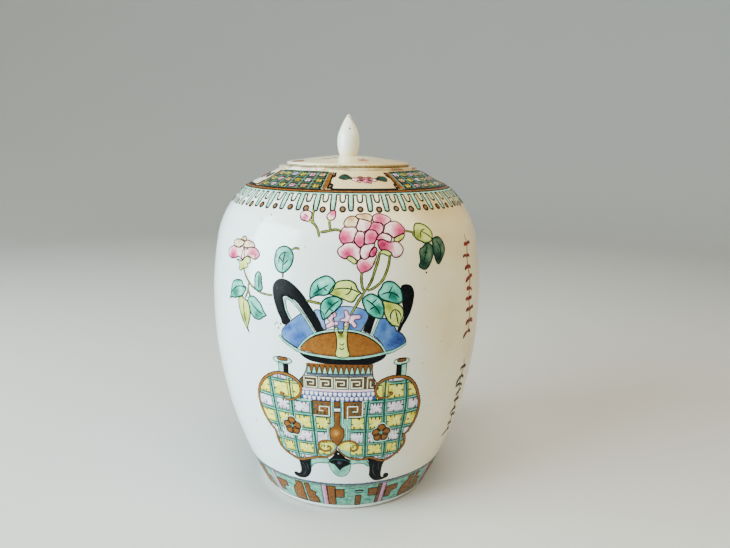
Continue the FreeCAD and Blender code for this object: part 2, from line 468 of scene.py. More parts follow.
def divided(points, step, closed=True):
    """Straight runs between corners, in short pieces."""
    points = np.asarray(points, float)
    out = []
    for i in range(len(points) if closed else len(points) - 1):
        a, b = points[i], points[(i + 1) % len(points)]
        pieces = max(1, int(math.ceil(np.linalg.norm(b - a) / step)))
        out.append(a + (b - a) * (np.arange(pieces) / pieces)[:, None])
    if not closed:
        out.append(points[-1:])
    return np.vstack(out)


# ---------------------------------------------------------------- materials


def srgb(r, g, b):
    """A colour given as 0-255 display values."""
    return tuple(
        (c / 255 / 12.92) if c <= 10 else ((c / 255 + 0.055) / 1.055) ** 2.4 for c in (r, g, b)
    )


class Shader:
    """A material being made: its node tree and short ways to add nodes to it."""

    def __init__(self, name):
        self.material = bpy.data.materials.new(name)
        self.material.use_nodes = True
        self.tree = self.material.node_tree
        self.tree.nodes.clear()
        self.surface = self.node("BsdfPrincipled")
        self.node("OutputMaterial", {0: self.surface.outputs[0]})
        self.coords = self.node("TexCoord").outputs["Object"]

    def node(self, kind, inputs=None, **settings):
        """A node. Each input is another node's output, or a plain value."""
        node = self.tree.nodes.new("ShaderNode" + kind)
        for name, value in settings.items():
            setattr(node, name, value)
        for name, value in (inputs or {}).items():
            self.put(node.inputs[name], value)
        return node

    def put(self, socket, value):
        if isinstance(value, bpy.types.NodeSocket):
            self.tree.links.new(value, socket)
        else:
            socket.default_value = value

    def done(self, inputs):
        """Puts the inputs on the surface and gives back the finished material."""
        for name, value in inputs.items():
            self.put(self.surface.inputs[name], value)
        return self.material

    def axes(self):
        return self.node("SeparateXYZ", {0: self.coords}).outputs

    def noise(self, scale, detail=3.0, roughness=0.5, stretch=None):
        where = self.coords
        if stretch:
            where = self.node("Mapping", {"Vector": where, "Scale": stretch}).outputs[0]
        values = {"Vector": where, "Scale": scale, "Detail": detail, "Roughness": roughness}
        return self.node("TexNoise", values).outputs[0]

    def spread(self, source, low, high, to_low=0.0, to_high=1.0):
        """The source's range from low to high, stretched to another range."""
        values = {"Value": source, "From Min": low, "From Max": high}
        return self.node("MapRange", {**values, "To Min": to_low, "To Max": to_high}).outputs[0]

    def sums(self, operation, a, b):
        return self.node("Math", {0: a, 1: b}, operation=operation).outputs[0]

    def total(self, first, *others):
        for other in others:
            first = self.sums("ADD", first, other)
        return first

    def ramp(self, source, stops):
        node = self.node("ValToRGB", {0: source})
        elements = node.color_ramp.elements
        while len(elements) < len(stops):
            elements.new(0.5)
        for element, (at, colour) in zip(elements, stops):
            element.position = at
            element.color = (*colour, 1.0)
        return node.outputs[0]

    def mix(self, share, colour, other):
        values = {0: share, 6: colour, 7: (*other, 1)}
        return self.node("Mix", values, data_type="RGBA").outputs[2]

    def bump(self, height, strength, distance):
        values = {"Height": height, "Strength": strength, "Distance": distance}
        return self.node("Bump", values).outputs[0]


ENAMEL_GLOSS = (0.2, 0.42)  # roughness of the smoothest and of the most worn places


def enamel(name, stops, brush, grain, shine):
    """Overglaze enamel. The tone of each point and the brush's unevenness choose the colour."""
    make = Shader(name)
    tone = make.node("Attribute", attribute_name="tone").outputs["Fac"]
    streaks = make.spread(make.noise(grain, 4.0, 0.6), 0.25, 0.75, -brush, brush)
    return make.done({
        "Base Color": make.ramp(make.total(tone, streaks), stops),
        "Roughness": make.spread(make.noise(700.0), 0.3, 0.7, *ENAMEL_GLOSS),
        "Specular IOR Level": shine,
        "Normal": make.bump(make.noise(900.0, 2.0), 0.25, 0.0002),
    })


# glaze colours from the bluish white of the cool-lit side, through cream, to the darker tan of
# painted shade
GLAZE_TINTS_LIT_TO_SHADED = [
    (0.0, srgb(226, 241, 243)),
    (0.4, srgb(231, 234, 226)),
    (0.75, srgb(232, 217, 172)),
    (1.0, srgb(206, 180, 122)),
]


def glaze_material(name, stained=0.0):
    """Clear glaze over white clay, with painted light in its colour: bluish on the left under the
    cool window light, creamier higher up and on the slope and lid for painted warm light from
    above, darker cream towards the right for painted shade. stained is how strongly the brown
    rubbing of the rim shows."""
    make = Shader(name)
    x, _, z = make.axes()
    painted_light_and_tone = make.total(
        # painted light and shade: bluish on the left under the cool window light, darker cream
        # towards the right in shade
        make.spread(x, -0.09, 0.11, -0.30, 0.72),
        # painted warm light from above: creamier higher up
        make.spread(z, 0.05, 0.26, -0.05, 0.14),
        make.spread(z, 0.244, 0.278, 0.0, 0.46),  # painted warm light from above on the slope and the lid
        make.spread(z, 0.290, 0.300, 0.0, -0.4),  # the bud is whiter again, with less of that painted warm light
        make.spread(make.noise(14.0), 0.3, 0.7, 0.0, 0.25),
    )
    # kiln specks: the middles of a few cells, some darker than others
    cells = make.node("TexVoronoi", {"Vector": make.coords, "Scale": 95.0}).outputs
    chance = make.node("SeparateColor", {0: cells["Color"]}).outputs
    reach = make.spread(chance[0], 0.80, 1.0, 0.0, 0.10)
    speck = make.sums("LESS_THAN", cells["Distance"], reach)
    share = make.sums("MULTIPLY", speck, make.spread(chance[1], 0.0, 1.0, 0.35, 1.0))
    colour = make.mix(share, make.ramp(painted_light_and_tone, GLAZE_TINTS_LIT_TO_SHADED), srgb(58, 48, 38))
    if stained:
        patchy = make.noise(75.0, 5.0, 0.62, (1.0, 1.0, 2.5))
        colour = make.mix(make.spread(patchy, 0.47, 0.57, 0.0, stained), colour, srgb(122, 76, 56))
    throwing_rings = make.noise(1.0, 3.0, 0.5, (6.0, 6.0, 220.0))
    height = make.total(
        make.sums("MULTIPLY", throwing_rings, 0.5),
        make.sums("MULTIPLY", make.noise(48.0, 2.0), 0.6),
        make.sums("MULTIPLY", make.noise(420.0, 2.0), 0.06),
    )
    return make.done({
        "Base Color": colour,
        "Roughness": make.spread(make.noise(60.0), 0.3, 0.7, 0.10, 0.20),
        "Normal": make.bump(height, 0.35, 0.0016),
        "Coat Weight": 0.25,
        "Coat Roughness": 0.05,
    })


def bare_material(name, glazed_from=None):
    """Unglazed clay. With glazed_from, the outside above that height and radius is glazed white."""
    make = Shader(name)
    grime, grit = make.noise(90.0, 5.0, 0.65), make.noise(1600.0)
    clay = [(0.25, srgb(138, 112, 82)), (0.5, srgb(196, 180, 152)), (0.8, srgb(224, 214, 194))]
    colour = make.ramp(grime, clay)
    rough = make.spread(grit, 0.3, 0.7, 0.62, 0.85)
    if glazed_from:
        height, radius = glazed_from
        x, y, z = make.axes()
        level = make.sums("SUBTRACT", z, make.sums("MULTIPLY", grime, 0.0009))
        above = make.spread(level, height - 0.0002, height + 0.0002)
        flattened = make.node("CombineXYZ", {"X": x, "Y": y}).outputs[0]
        away = make.node("VectorMath", {0: flattened}, operation="LENGTH").outputs["Value"]
        outside = make.spread(away, radius - 0.0003, radius)
        share = make.sums("MULTIPLY", above, outside)
        colour = make.mix(share, colour, srgb(226, 238, 236))
        rough = make.sums("SUBTRACT", rough, make.sums("MULTIPLY", share, 0.56))
    normal = make.bump(grit, 0.4, 0.0002)
    return make.done({"Base Color": colour, "Roughness": rough, "Normal": normal})


GLAZE = glaze_material("glaze")
RIM_GLAZE = glaze_material("rim_glaze", 0.75)
BARE = bare_material("bare_clay")
FOOT = bare_material("foot_clay", (0.0012, 0.0735))

# ---------------------------------------------------------------- the turned pieces

turned("jar_foot_ring", "foot_ring", JAR, FOOT)
turned("jar_lower_body", "lower_body", JAR, GLAZE)
turned("jar_upper_body", "upper_body", JAR, GLAZE)
turned("jar_collar", "mouth_collar", JAR, RIM_GLAZE)
turned("lid_dome", "lid_cap", LID, GLAZE)
turned("lid_locating_ring", "lid_flange", LID, BARE)
turned("lid_bud", "lid_finial", LID, GLAZE, around=96, spacing=FINE)

# ---------------------------------------------------------------- the painting's colours

COLOURS = {
    # name: (slot, ramp from deep to pale, brush unevenness, grain of the brush marks per metre)
    "ink": (
        "enamel_dark", [(0.0, srgb(10, 8, 8)), (0.5, srgb(26, 20, 18)), (1.0, srgb(72, 58, 46))],
        0.25, 300
    ),
    "maroon": (
        "enamel_dark", [(0.0, srgb(40, 8, 18)), (0.5, srgb(78, 22, 34)), (1.0, srgb(124, 62, 64))],
        0.25, 300
    ),
    "deepgreen": (
        "enamel_dark", [(0.0, srgb(4, 26, 22)), (0.5, srgb(12, 52, 44)), (1.0, srgb(56, 100, 84))],
        0.3, 300
    ),
    "black": (
        "enamel_dark",
        [
            (0.0, srgb(6, 7, 9)), (0.5, srgb(14, 16, 19)), (0.85, srgb(34, 38, 44)),
            (1.0, srgb(70, 76, 84))
        ],
        0.30, 260
    ),
    "brown": (
        "enamel_orange",
        [(0.0, srgb(44, 28, 14)), (0.5, srgb(100, 68, 34)), (1.0, srgb(156, 120, 78))], 0.25, 240
    ),
    "russet": (
        "enamel_dark",
        [(0.0, srgb(72, 18, 10)), (0.5, srgb(122, 40, 26)), (1.0, srgb(168, 90, 66))], 0.25, 300
    ),
    "orange": (
        "enamel_orange",
        [
            (0.0, srgb(60, 30, 6)), (0.4, srgb(114, 66, 14)), (0.75, srgb(146, 92, 26)),
            (1.0, srgb(184, 134, 68))
        ],
        0.18, 420
    ),
    "tan": (
        "enamel_orange",
        [(0.0, srgb(124, 82, 46)), (0.45, srgb(186, 148, 100)), (1.0, srgb(234, 212, 172))], 0.25,
        260
    ),
    "teal": (
        "enamel_green", [(0.0, srgb(0, 50, 42)), (0.5, srgb(6, 88, 74)), (1.0, srgb(84, 160, 136))],
        0.30, 220
    ),
    "leaf": (
        "enamel_green",
        [
            (0.0, srgb(4, 74, 62)), (0.35, srgb(34, 126, 106)), (0.7, srgb(96, 186, 164)),
            (1.0, srgb(160, 220, 202))
        ],
        0.26, 190
    ),
    "shadeleaf": (
        "enamel_green",
        [(0.0, srgb(10, 32, 26)), (0.5, srgb(38, 70, 54)), (1.0, srgb(94, 118, 88))], 0.34, 190
    ),
    "mint": (
        "enamel_green",
        [(0.0, srgb(44, 116, 100)), (0.5, srgb(118, 188, 166)), (1.0, srgb(198, 234, 216))], 0.28,
        260
    ),
    "yellowgreen": (
        "enamel_yellow",
        [(0.0, srgb(88, 96, 24)), (0.45, srgb(172, 182, 74)), (1.0, srgb(216, 224, 134))], 0.24, 200
    ),
    "yellow": (
        "enamel_yellow",
        [
            (0.0, srgb(130, 118, 20)), (0.4, srgb(208, 196, 50)), (0.75, srgb(230, 222, 90)),
            (1.0, srgb(242, 238, 146))
        ],
        0.28, 300
    ),
    "lilac": (
        "enamel_pink",
        [
            (0.0, srgb(104, 78, 120)), (0.3, srgb(186, 168, 194)), (0.6, srgb(220, 210, 222)),
            (1.0, srgb(240, 238, 240))
        ],
        0.34, 420
    ),
    "pink": (
        "enamel_pink",
        [
            (0.0, srgb(118, 14, 52)), (0.3, srgb(190, 60, 102)), (0.62, srgb(218, 114, 144)),
            (0.86, srgb(240, 190, 192)), (1.0, srgb(248, 230, 222))
        ],
        0.15, 300
    ),
    "mauve": (
        "enamel_pink",
        [(0.0, srgb(130, 60, 100)), (0.5, srgb(208, 144, 174)), (1.0, srgb(240, 208, 222))], 0.2,
        300
    ),
    "blue": (
        "enamel_blue",
        [
            (0.0, srgb(18, 38, 96)), (0.35, srgb(44, 82, 148)), (0.7, srgb(84, 124, 178)),
            (1.0, srgb(150, 180, 212))
        ],
        0.30, 90
    ),
    "slate": (
        "enamel_blue",
        [(0.0, srgb(34, 38, 58)), (0.5, srgb(72, 82, 96)), (1.0, srgb(140, 150, 158))], 0.3, 240
    ),
    "cream": (
        "enamel_yellow",
        [(0.0, srgb(170, 190, 150)), (0.5, srgb(224, 232, 200)), (1.0, srgb(246, 244, 224))], 0.2,
        300
    ),
}
DARK_SHINE, SHINE = 0.06, 0.22  # how glossy the dark lines and the coloured enamels are
MATERIALS = {
    name: enamel(
        "enamel_" + name, stops, brush=brush, grain=grain,
        shine=DARK_SHINE if slot == "enamel_dark" else SHINE,
    )
    for name, (slot, stops, brush, grain) in COLOURS.items()
}


LINE_WEIGHT = 1.6  # how much bolder the fine dark lines are than their nominal width
EDGE_WEIGHT = 2.8  # how much wider a dark stroke is than the coloured one on it, per mm of rim


class Paints:
    """The enamels of one motif: one piece for each colour it uses."""

    def __init__(self, motif, move=None, body=JAR, place=on_wall):
        self.motif, self.move, self.body, self.place = motif, move, body, place
        self.made = {}

    def __getitem__(self, colour):
        if colour not in self.made:
            self.made[colour] = Enamel(
                self.motif + "_" + colour, MATERIALS[colour], COLOURS[colour][0], self.body,
                self.place, self.move,
            )
        return self.made[colour]

    def shape(self, colour, points, tone=None, level=0, ink=None, width=0.8, ink_level=3, step=2.6):
        """A filled outline, with a dark line round it where an ink is given."""
        self[colour].patch(points, level, tone or fade(2.5, 0.35, 0.6), step)
        if ink:
            self[ink].line(points, width * LINE_WEIGHT, ink_level, 0.25, closed=True)

    def stroke(self, colour, points, width=0.8, level=3, tone=0.3, **more):
        """A brush stroke, bolder where its colour is one of the dark ones."""
        weight = LINE_WEIGHT if COLOURS[colour][0] == "enamel_dark" else 1.0
        self[colour].line(points, width * weight, level, tone, **more)

    def edged(self, colour, edge, points, width, level=2, tone=0.5, rim=0.5, **more):
        """A coloured stroke with a thin dark line showing on both sides."""
        self[edge].line(points, width + EDGE_WEIGHT * rim, level, 0.35, **more)
        self[colour].line(points, width, level + 1, tone, **more)

    def build(self):
        for paint in self.made.values():
            paint.build()


def clip(subject, cell):
    """The part of an outline inside a convex cell whose corners go round anticlockwise."""
    out = [tuple(p) for p in subject]
    for i, a in enumerate(cell):
        b = cell[(i + 1) % len(cell)]
        side = [(b[0] - a[0]) * (p[1] - a[1]) - (b[1] - a[1]) * (p[0] - a[0]) for p in out]
        kept = []
        for j, p in enumerate(out):
            q, sp, sq = out[j - 1], side[j], side[j - 1]
            if (sp >= 0) != (sq >= 0):
                t = sq / (sq - sp)
                kept.append((q[0] + (p[0] - q[0]) * t, q[1] + (p[1] - q[1]) * t))
            if sp >= 0:
                kept.append(p)
        out = kept
        if len(out) < 3:
            return []
    return out


def box(u0, u1, s0, s1):
    return [(u0, s0), (u1, s0), (u1, s1), (u0, s1)]


def corners(points):
    """Marks every point as a corner."""
    return [p for point in points for p in (point, point)]


def oval(centre, a, b, lean=0.0, count=12):
    c, s = math.cos(lean), math.sin(lean)
    turns = [2 * math.pi * k / count for k in range(count)]
    return [
        (
            centre[0] + a * math.cos(t) * c - b * math.sin(t) * s,
            centre[1] + a * math.cos(t) * s + b * math.sin(t) * c,
        )
        for t in turns
    ]


def leaning(low, high, at_low=0.0, at_high=1.0):
    """Tone that changes along a straight direction from one point to another."""
    low, high = np.array(low, float), np.array(high, float)
    way = high - low

    def tone(p, d):
        t = np.clip((p - low) @ way / (way @ way), 0, 1)
        return at_low + (at_high - at_low) * t

    return tone


def darkest(*tones):
    return lambda p, d: np.min([tone(p, d) for tone in tones], axis=0)


# ---------------------------------------------------------------- the bronze-shaped vase

HANDLE_LEFT = [
    (-49.4, 180.5), (-51.4, 184.9), (-53.8, 189.1), (-55.8, 193.8), (-57.6, 199.1), (-58.8, 204.9),
    (-58.6, 209.1), (-56.7, 212.3), (-53.8, 214.4), (-49.9, 215.1), (-45.5, 214.1), (-40.8, 211.4),
    (-36.1, 207.6), (-32.0, 203.2), (-28.8, 198.5), (-25.5, 193.8), (-22.6, 188.5), (-19.6, 183.8),
    (-16.4, 178.5), (-16.4, 178.5), (-22.0, 175.8), (-22.0, 175.8), (-24.1, 178.5), (-27.3, 183.8),
    (-31.4, 189.6), (-34.9, 194.4), (-39.1, 198.8), (-43.2, 201.1), (-46.7, 202.0), (-48.8, 201.4),
    (-48.9, 198.5), (-48.2, 194.4), (-46.7, 189.9), (-44.4, 186.1), (-42.9, 184.4), (-42.9, 184.4),
]
HANDLE_RIGHT = [
    (39.2, 176.1), (38.0, 177.3), (40.4, 182.0), (42.7, 186.7), (42.4, 193.8), (41.5, 197.3),
    (41.8, 204.4), (40.4, 209.1), (40.9, 210.8), (43.3, 211.9), (46.8, 211.7), (49.8, 210.2),
    (51.5, 207.3), (52.1, 203.8), (51.5, 199.6), (50.4, 194.9), (48.6, 190.2), (45.6, 184.9),
    (42.7, 180.8),
]
PANEL_LEFT = [
    (-50.5, 173.8), (-46.7, 180.2), (-42.0, 184.4), (-37.3, 188.2), (-33.8, 189.9), (-32.3, 188.5),
    (-29.1, 183.2), (-24.6, 176.1), (-25.5, 174.6), (-29.1, 172.6), (-32.0, 170.2), (-35.5, 165.2),
    (-37.3, 163.9), (-41.4, 165.2), (-45.9, 167.7), (-49.9, 171.0),
]
PANEL_RIGHT = [
    (23.3, 186.7), (20.9, 180.8), (19.2, 175.5), (22.7, 172.0), (25.6, 168.5), (28.6, 163.2),
    (30.4, 161.1), (35.1, 162.4), (39.8, 164.4), (45.3, 167.2), (44.8, 170.2), (43.3, 172.6),
    (40.4, 175.5), (38.0, 176.7), (35.1, 181.4), (30.9, 184.9), (28.0, 187.3),
]
PANEL_MIDDLE = [
    (-9.0, 180.0), (-9.5, 185.0), (-10.0, 192.0), (-8.0, 195.0), (-3.5, 197.0), (1.0, 197.0),
    (6.0, 196.3), (11.0, 195.0), (14.5, 192.5), (15.5, 190.0), (14.5, 186.0), (12.0, 181.5),
    (10.0, 178.4), (3.0, 179.3), (-3.0, 179.6),
]
PANEL_SLIVER = [
    (-24.5, 193.0), (-20.0, 193.5), (-17.0, 190.0), (-16.5, 184.0), (-15.5, 179.5), (-17.0, 179.2),
    (-20.0, 184.5), (-23.0, 190.0),
]
MOUTH = [
    (-35.6, 162.6), (-33.0, 166.5), (-30.0, 170.0), (-26.0, 173.0), (-21.0, 175.4), (-15.0, 177.0),
    (-8.5, 178.0), (-3.0, 178.4), (3.0, 178.0), (9.0, 176.8), (15.0, 174.8), (20.0, 172.0),
    (24.5, 168.5), (27.0, 165.0), (27.8, 161.8), (24.0, 160.6), (16.0, 159.6), (8.0, 158.7),
    (0.0, 157.9), (-8.0, 158.2), (-16.0, 158.9), (-24.0, 160.0), (-30.0, 161.3),
]
TRUNK = [
    (-8.5, 160.0), (-7.6, 165.0), (-7.6, 170.0), (-8.1, 175.0), (-8.9, 181.0), (-7.6, 181.4),
    (-6.2, 177.0), (-4.2, 176.2), (-2.6, 179.0), (-1.4, 185.5), (0.6, 185.5), (0.5, 179.0),
    (0.0, 174.0), (0.2, 168.0), (1.0, 163.5), (2.1, 160.2),
]
UNDER_RIM = [
    (-36.8, 160.7), (-35.0, 158.2), (-32.0, 156.0), (-28.0, 154.2), (-22.0, 153.0), (-14.5, 152.2),
    (-7.0, 151.9), (0.0, 151.9), (10.0, 151.7), (18.0, 151.7), (22.0, 153.0), (26.0, 154.7),
    (28.5, 156.5), (29.8, 159.2), (27.0, 159.4), (20.0, 158.0), (10.0, 157.0), (0.0, 156.6),
    (-7.0, 156.8), (-14.5, 157.4), (-22.0, 158.4), (-28.0, 159.8), (-33.0, 161.0),
]
BODY_LEFT = [
    (-54.0, 124.5), (-52.5, 120.5), (-49.0, 118.8), (-44.5, 119.5), (-40.5, 121.8), (-37.5, 125.0),
    (-36.3, 129.0), (-36.5, 133.0), (-38.5, 136.0), (-42.0, 138.8), (-46.0, 140.3), (-50.0, 141.0),
    (-55.0, 140.8), (-60.0, 139.3), (-64.5, 137.0), (-69.0, 133.5), (-72.5, 129.5), (-75.5, 125.0),
    (-77.3, 120.0), (-78.0, 115.0), (-77.8, 110.0), (-75.5, 101.0), (-73.0, 95.5), (-70.0, 91.0),
    (-66.0, 86.8), (-66.0, 86.8), (-65.6, 83.0), (-65.3, 79.5), (-64.8, 76.0), (-63.5, 72.0),
    (-60.5, 68.0), (-56.0, 65.0), (-51.0, 62.5), (-46.0, 60.8), (-41.0, 61.3), (-37.0, 63.0),
    (-32.0, 64.5), (-27.0, 66.0), (-22.0, 66.3), (-17.0, 67.5), (-13.0, 70.0), (-10.5, 73.0),
    (-9.0, 76.0), (-8.0, 79.0),
]
BODY_RIGHT = [
    (-7.0, 77.0), (-5.5, 73.0), (-2.0, 69.5), (3.0, 66.5), (8.0, 65.0), (13.0, 64.5), (18.0, 65.0),
    (21.0, 66.0), (26.0, 64.5), (31.0, 62.0), (36.0, 60.8), (41.0, 62.5), (46.0, 65.5),
    (50.5, 69.0), (53.5, 73.0), (54.5, 77.0), (54.0, 80.5), (52.0, 84.6), (52.0, 84.6),
    (55.0, 87.0), (58.0, 91.0), (60.5, 96.0), (62.3, 102.0), (63.0, 109.0), (62.5, 115.0),
    (61.0, 120.0), (59.0, 125.0), (56.5, 130.0), (54.0, 133.5), (50.0, 137.0), (45.0, 139.3),
    (40.0, 140.0), (35.0, 140.0), (30.5, 139.0), (26.0, 137.0), (23.5, 134.0), (22.5, 130.0),
    (23.3, 126.0), (26.0, 123.5), (30.5, 123.0), (34.0, 124.0), (36.2, 127.0),
]
CURL_LEFT = [
    (-10.0, 82.0), (-13.0, 83.5), (-18.0, 84.0), (-22.5, 82.5), (-24.5, 79.5), (-23.5, 76.0),
    (-20.5, 73.5), (-17.0, 73.5), (-14.5, 75.0), (-13.8, 77.2), (-15.5, 78.4), (-17.3, 77.2),
]
CURL_RIGHT = [
    (-7.0, 79.0), (-4.5, 82.0), (-1.0, 83.8), (3.0, 84.3), (7.0, 83.0), (9.5, 80.5), (10.0, 77.5),
    (9.0, 75.0), (7.0, 73.8), (4.5, 75.0), (4.0, 77.0), (5.4, 77.8),
]
# columns of the lattice: height along the wall -> place across
COLUMNS_LEFT = (
    ((60, -80.0), (140, -80.0)),
    ((86, -60.0), (100, -61.0), (120, -62.0), (138, -63.5)),
    ((60, -45.0), (76, -45.6), (104, -45.0), (138, -46.0)),
    ((66, -27.0), (92, -27.4), (121, -28.2)),
    ((60, -12.0), (121, -12.0)),
)
COLUMNS_RIGHT = (
    ((60, 1.5), (121, 1.5)),
    ((66, 17.4), (78, 16.8), (105, 16.4), (121, 17.4)),
    ((64, 35.0), (78, 34.6), (90, 32.8), (105, 31.2), (140, 30.6)),
    ((66, 50.0), (86, 48.6), (100, 49.3), (120, 49.6), (138, 47.2)),
    ((60, 68.0), (140, 68.0)),
)
# bars of the lattice: height along the wall, then where the bar starts and ends
BARS_LEFT = (
    (134.9, (-66, -41)), (120.5, (-76, -38)), (108.0, (-77, -27)), (94.0, (-71, -15)),
    (80.6, (-64, -26)), (68.4, (-58, -28)),
)
BARS_RIGHT = (
    (134.9, (34, 52)), (120.4, (14, 60)), (107.8, (13, 62)), (94.0, (1, 59)),
    (80.6, (11, 53)), (68.4, (4, 50)),
)
# rows of cells between the bars: lower and upper height, colour
ROWS = (
    (61.0, 67.4, "lilac"), (69.6, 79.6, "yellow"), (81.6, 92.6, "lilac"), (95.2, 106.4, "yellow"),
    (109.4, 119.2, "lilac"), (121.6, 134.0, "yellow"), (136.0, 141.0, "lilac"),
)
LEG_LEFT = [
    (-46.6, 61.0), (-34.1, 63.0), (-33.8, 58.6), (-34.5, 52.1), (-35.6, 47.9), (-38.4, 42.9),
    (-42.7, 39.3), (-47.7, 37.9), (-52.7, 37.9), (-56.3, 40.0), (-56.3, 42.9), (-53.4, 44.3),
    (-50.2, 43.6), (-47.9, 45.7), (-46.6, 49.6), (-46.6, 55.3),
]
LEG_RIGHT = [
    (18.7, 65.0), (20.9, 62.1), (22.3, 55.7), (23.0, 50.0), (23.4, 45.0), (25.9, 41.4),
    (30.1, 37.9), (36.6, 37.1), (40.9, 37.9), (45.1, 40.0), (45.6, 42.6), (43.0, 45.0),
    (40.1, 45.0), (38.7, 42.9), (39.4, 40.9), (37.6, 41.4), (36.2, 45.0), (35.9, 50.0),
    (36.2, 55.7), (37.6, 61.0), (30.0, 63.9),
]
FRET_CENTRES = (-27.5, -15.6, -3.7, 8.2)  # places across of the neck's key motifs
FRET = [
    (-4.8, 4.4), (4.4, 4.4), (4.4, -3.9), (-4.4, -3.9), (-4.4, 1.6), (1.7, 1.6), (1.7, -1.2),
    (-1.4, -1.2),
]


def column_at(column, s):
    """Where a column of the lattice is at a height along the wall."""
    heights, places = zip(*column)
    return float(np.interp(s, heights, places))


SLIVER, WHOLE = 8, 50  # square mm: smaller cells aren't painted, larger ones carry marks
# ticks round a cell: where they start, as shares of its size, which way they point, and their paint
TICKS = (
    (0.04, 0.5, 0.0, -1, "teal"), (-0.04, -0.5, 0.0, 1, "teal"),
    (0.5, 0.02, -1, 0, "teal"), (-0.5, -0.05, 1, 0, "teal"),
    (0.27, 0.48, 0.1, -1, "ink"), (-0.25, 0.48, 0.0, -1, "ink"),
    (0.2, -0.46, 0.0, 1, "ink"), (-0.3, -0.46, 0.1, 1, "ink"),
)
TICK_PAINT = {"teal": (0.15, 1.7, 0.05), "ink": (0.45, 1.4, 0.3)}  # share left out, width, tone
# small strokes inside a cell: their paints and tones, how far they scatter and reach, the widest
CELL_MARKS = {
    "lilac": (
        (("mauve", 0.0), ("mauve", 0.2), ("slate", 0.0), ("maroon", 0.5), ("slate", 0.1),
         ("ink", 0.8), ("mauve", 0.1)),
        0.36, 0.3, 1.4, 1.0, 1.4,
    ),
    "yellow": ((("yellowgreen", 0.15), ("yellowgreen", 0.15)), 0.3, 0.25, 1.6, 0.8, 1.5),
}


def lattice(paint, outline, columns):
    """Enamel cells between the green bands, each a little uneven, with dark ticks at its edges."""
    for low, high, colour in ROWS:
        for left, right in zip(columns, columns[1:]):
            shift = [RNG.uniform(-0.5, 0.5) for _ in range(4)]
            cell = [
                (column_at(left, low) + 2.1 + shift[0], low + 0.2 + shift[1] * 0.6),
                (column_at(right, low) - 2.1 + shift[1], low + 0.2 + shift[2] * 0.6),
                (column_at(right, high) - 2.1 + shift[2], high - 0.2 + shift[3] * 0.6),
                (column_at(left, high) + 2.1 + shift[3], high - 0.2 + shift[0] * 0.6),
            ]
            piece = clip(outline, cell)
            if len(piece) < 3:
                continue
            piece_points = np.array(piece)
            x, y = piece_points.T
            size = abs(np.sum(x * np.roll(y, -1) - np.roll(x, -1) * y)) / 2
            if size < SLIVER:
                continue
            spot = (float(x.mean()) + RNG.uniform(-3, 3), float(y.mean()) + RNG.uniform(-2, 2))
            wash = darkest(fade(1.6, 0.25, 0.85), glow(spot, 6.0, RNG.uniform(0.35, 0.75), 0.9))
            paint[colour].patch(piece, 1, wash, 2.2, 1.2, False)
            paint["teal"].line(piece, 0.95, 2, 0.25, closed=True, smooth=False)
            middle = (float(x.mean()), float(y.mean()))
            width, height = float(np.ptp(x)), float(np.ptp(y))
            for fx, fy, dx, dy, mark in TICKS:
                skipped, weight, tone = TICK_PAINT[mark]
                if RNG.random() < skipped:
                    continue
                at = (
                    middle[0] + fx * width + RNG.uniform(-0.6, 0.6),
                    middle[1] + fy * height + RNG.uniform(-0.3, 0.3),
                )
                far = (at[0] + dx * RNG.uniform(1.8, 2.9), at[1] + dy * RNG.uniform(1.8, 2.9))
                if inside(np.array([far]), piece_points).all():
                    paint[mark].line([at, far], weight, 3, tone, 0.45)
            if size < WHOLE:
                continue
            marks, share_x, share_y, reach_x, reach_y, widest = CELL_MARKS[colour]
            for mark, tone in marks:
                at = (
                    middle[0] + RNG.uniform(-share_x, share_x) * width,
                    middle[1] + RNG.uniform(-share_y, share_y) * height,
                )
                if inside(np.array([at]), piece_points).all():
                    far = (
                        at[0] + RNG.uniform(-reach_x, reach_x),
                        at[1] + RNG.uniform(-reach_y, reach_y),
                    )
                    paint[mark].line([at, far], RNG.uniform(0.9, widest), 2, tone, 0.4)


def bands(paint, columns, bars):
    """The green lines between the cells: one down each inner edge, two thin ones for each bar."""
    for column in columns[1:-1]:
        points = [(u, s) for s, u in column]
        paint.stroke("teal", points, 1.9, 3, 0.15, taper=0.9)
    for s, (start, end) in bars:
        points = [(start, s + 0.4), ((start + end) / 2, s - 0.5), (end, s + 0.3)]
        for off in (-0.9, 0.9):
            paint.stroke("teal", [(u, h + off) for u, h in points], 0.85, 3, 0.3, taper=0.8)


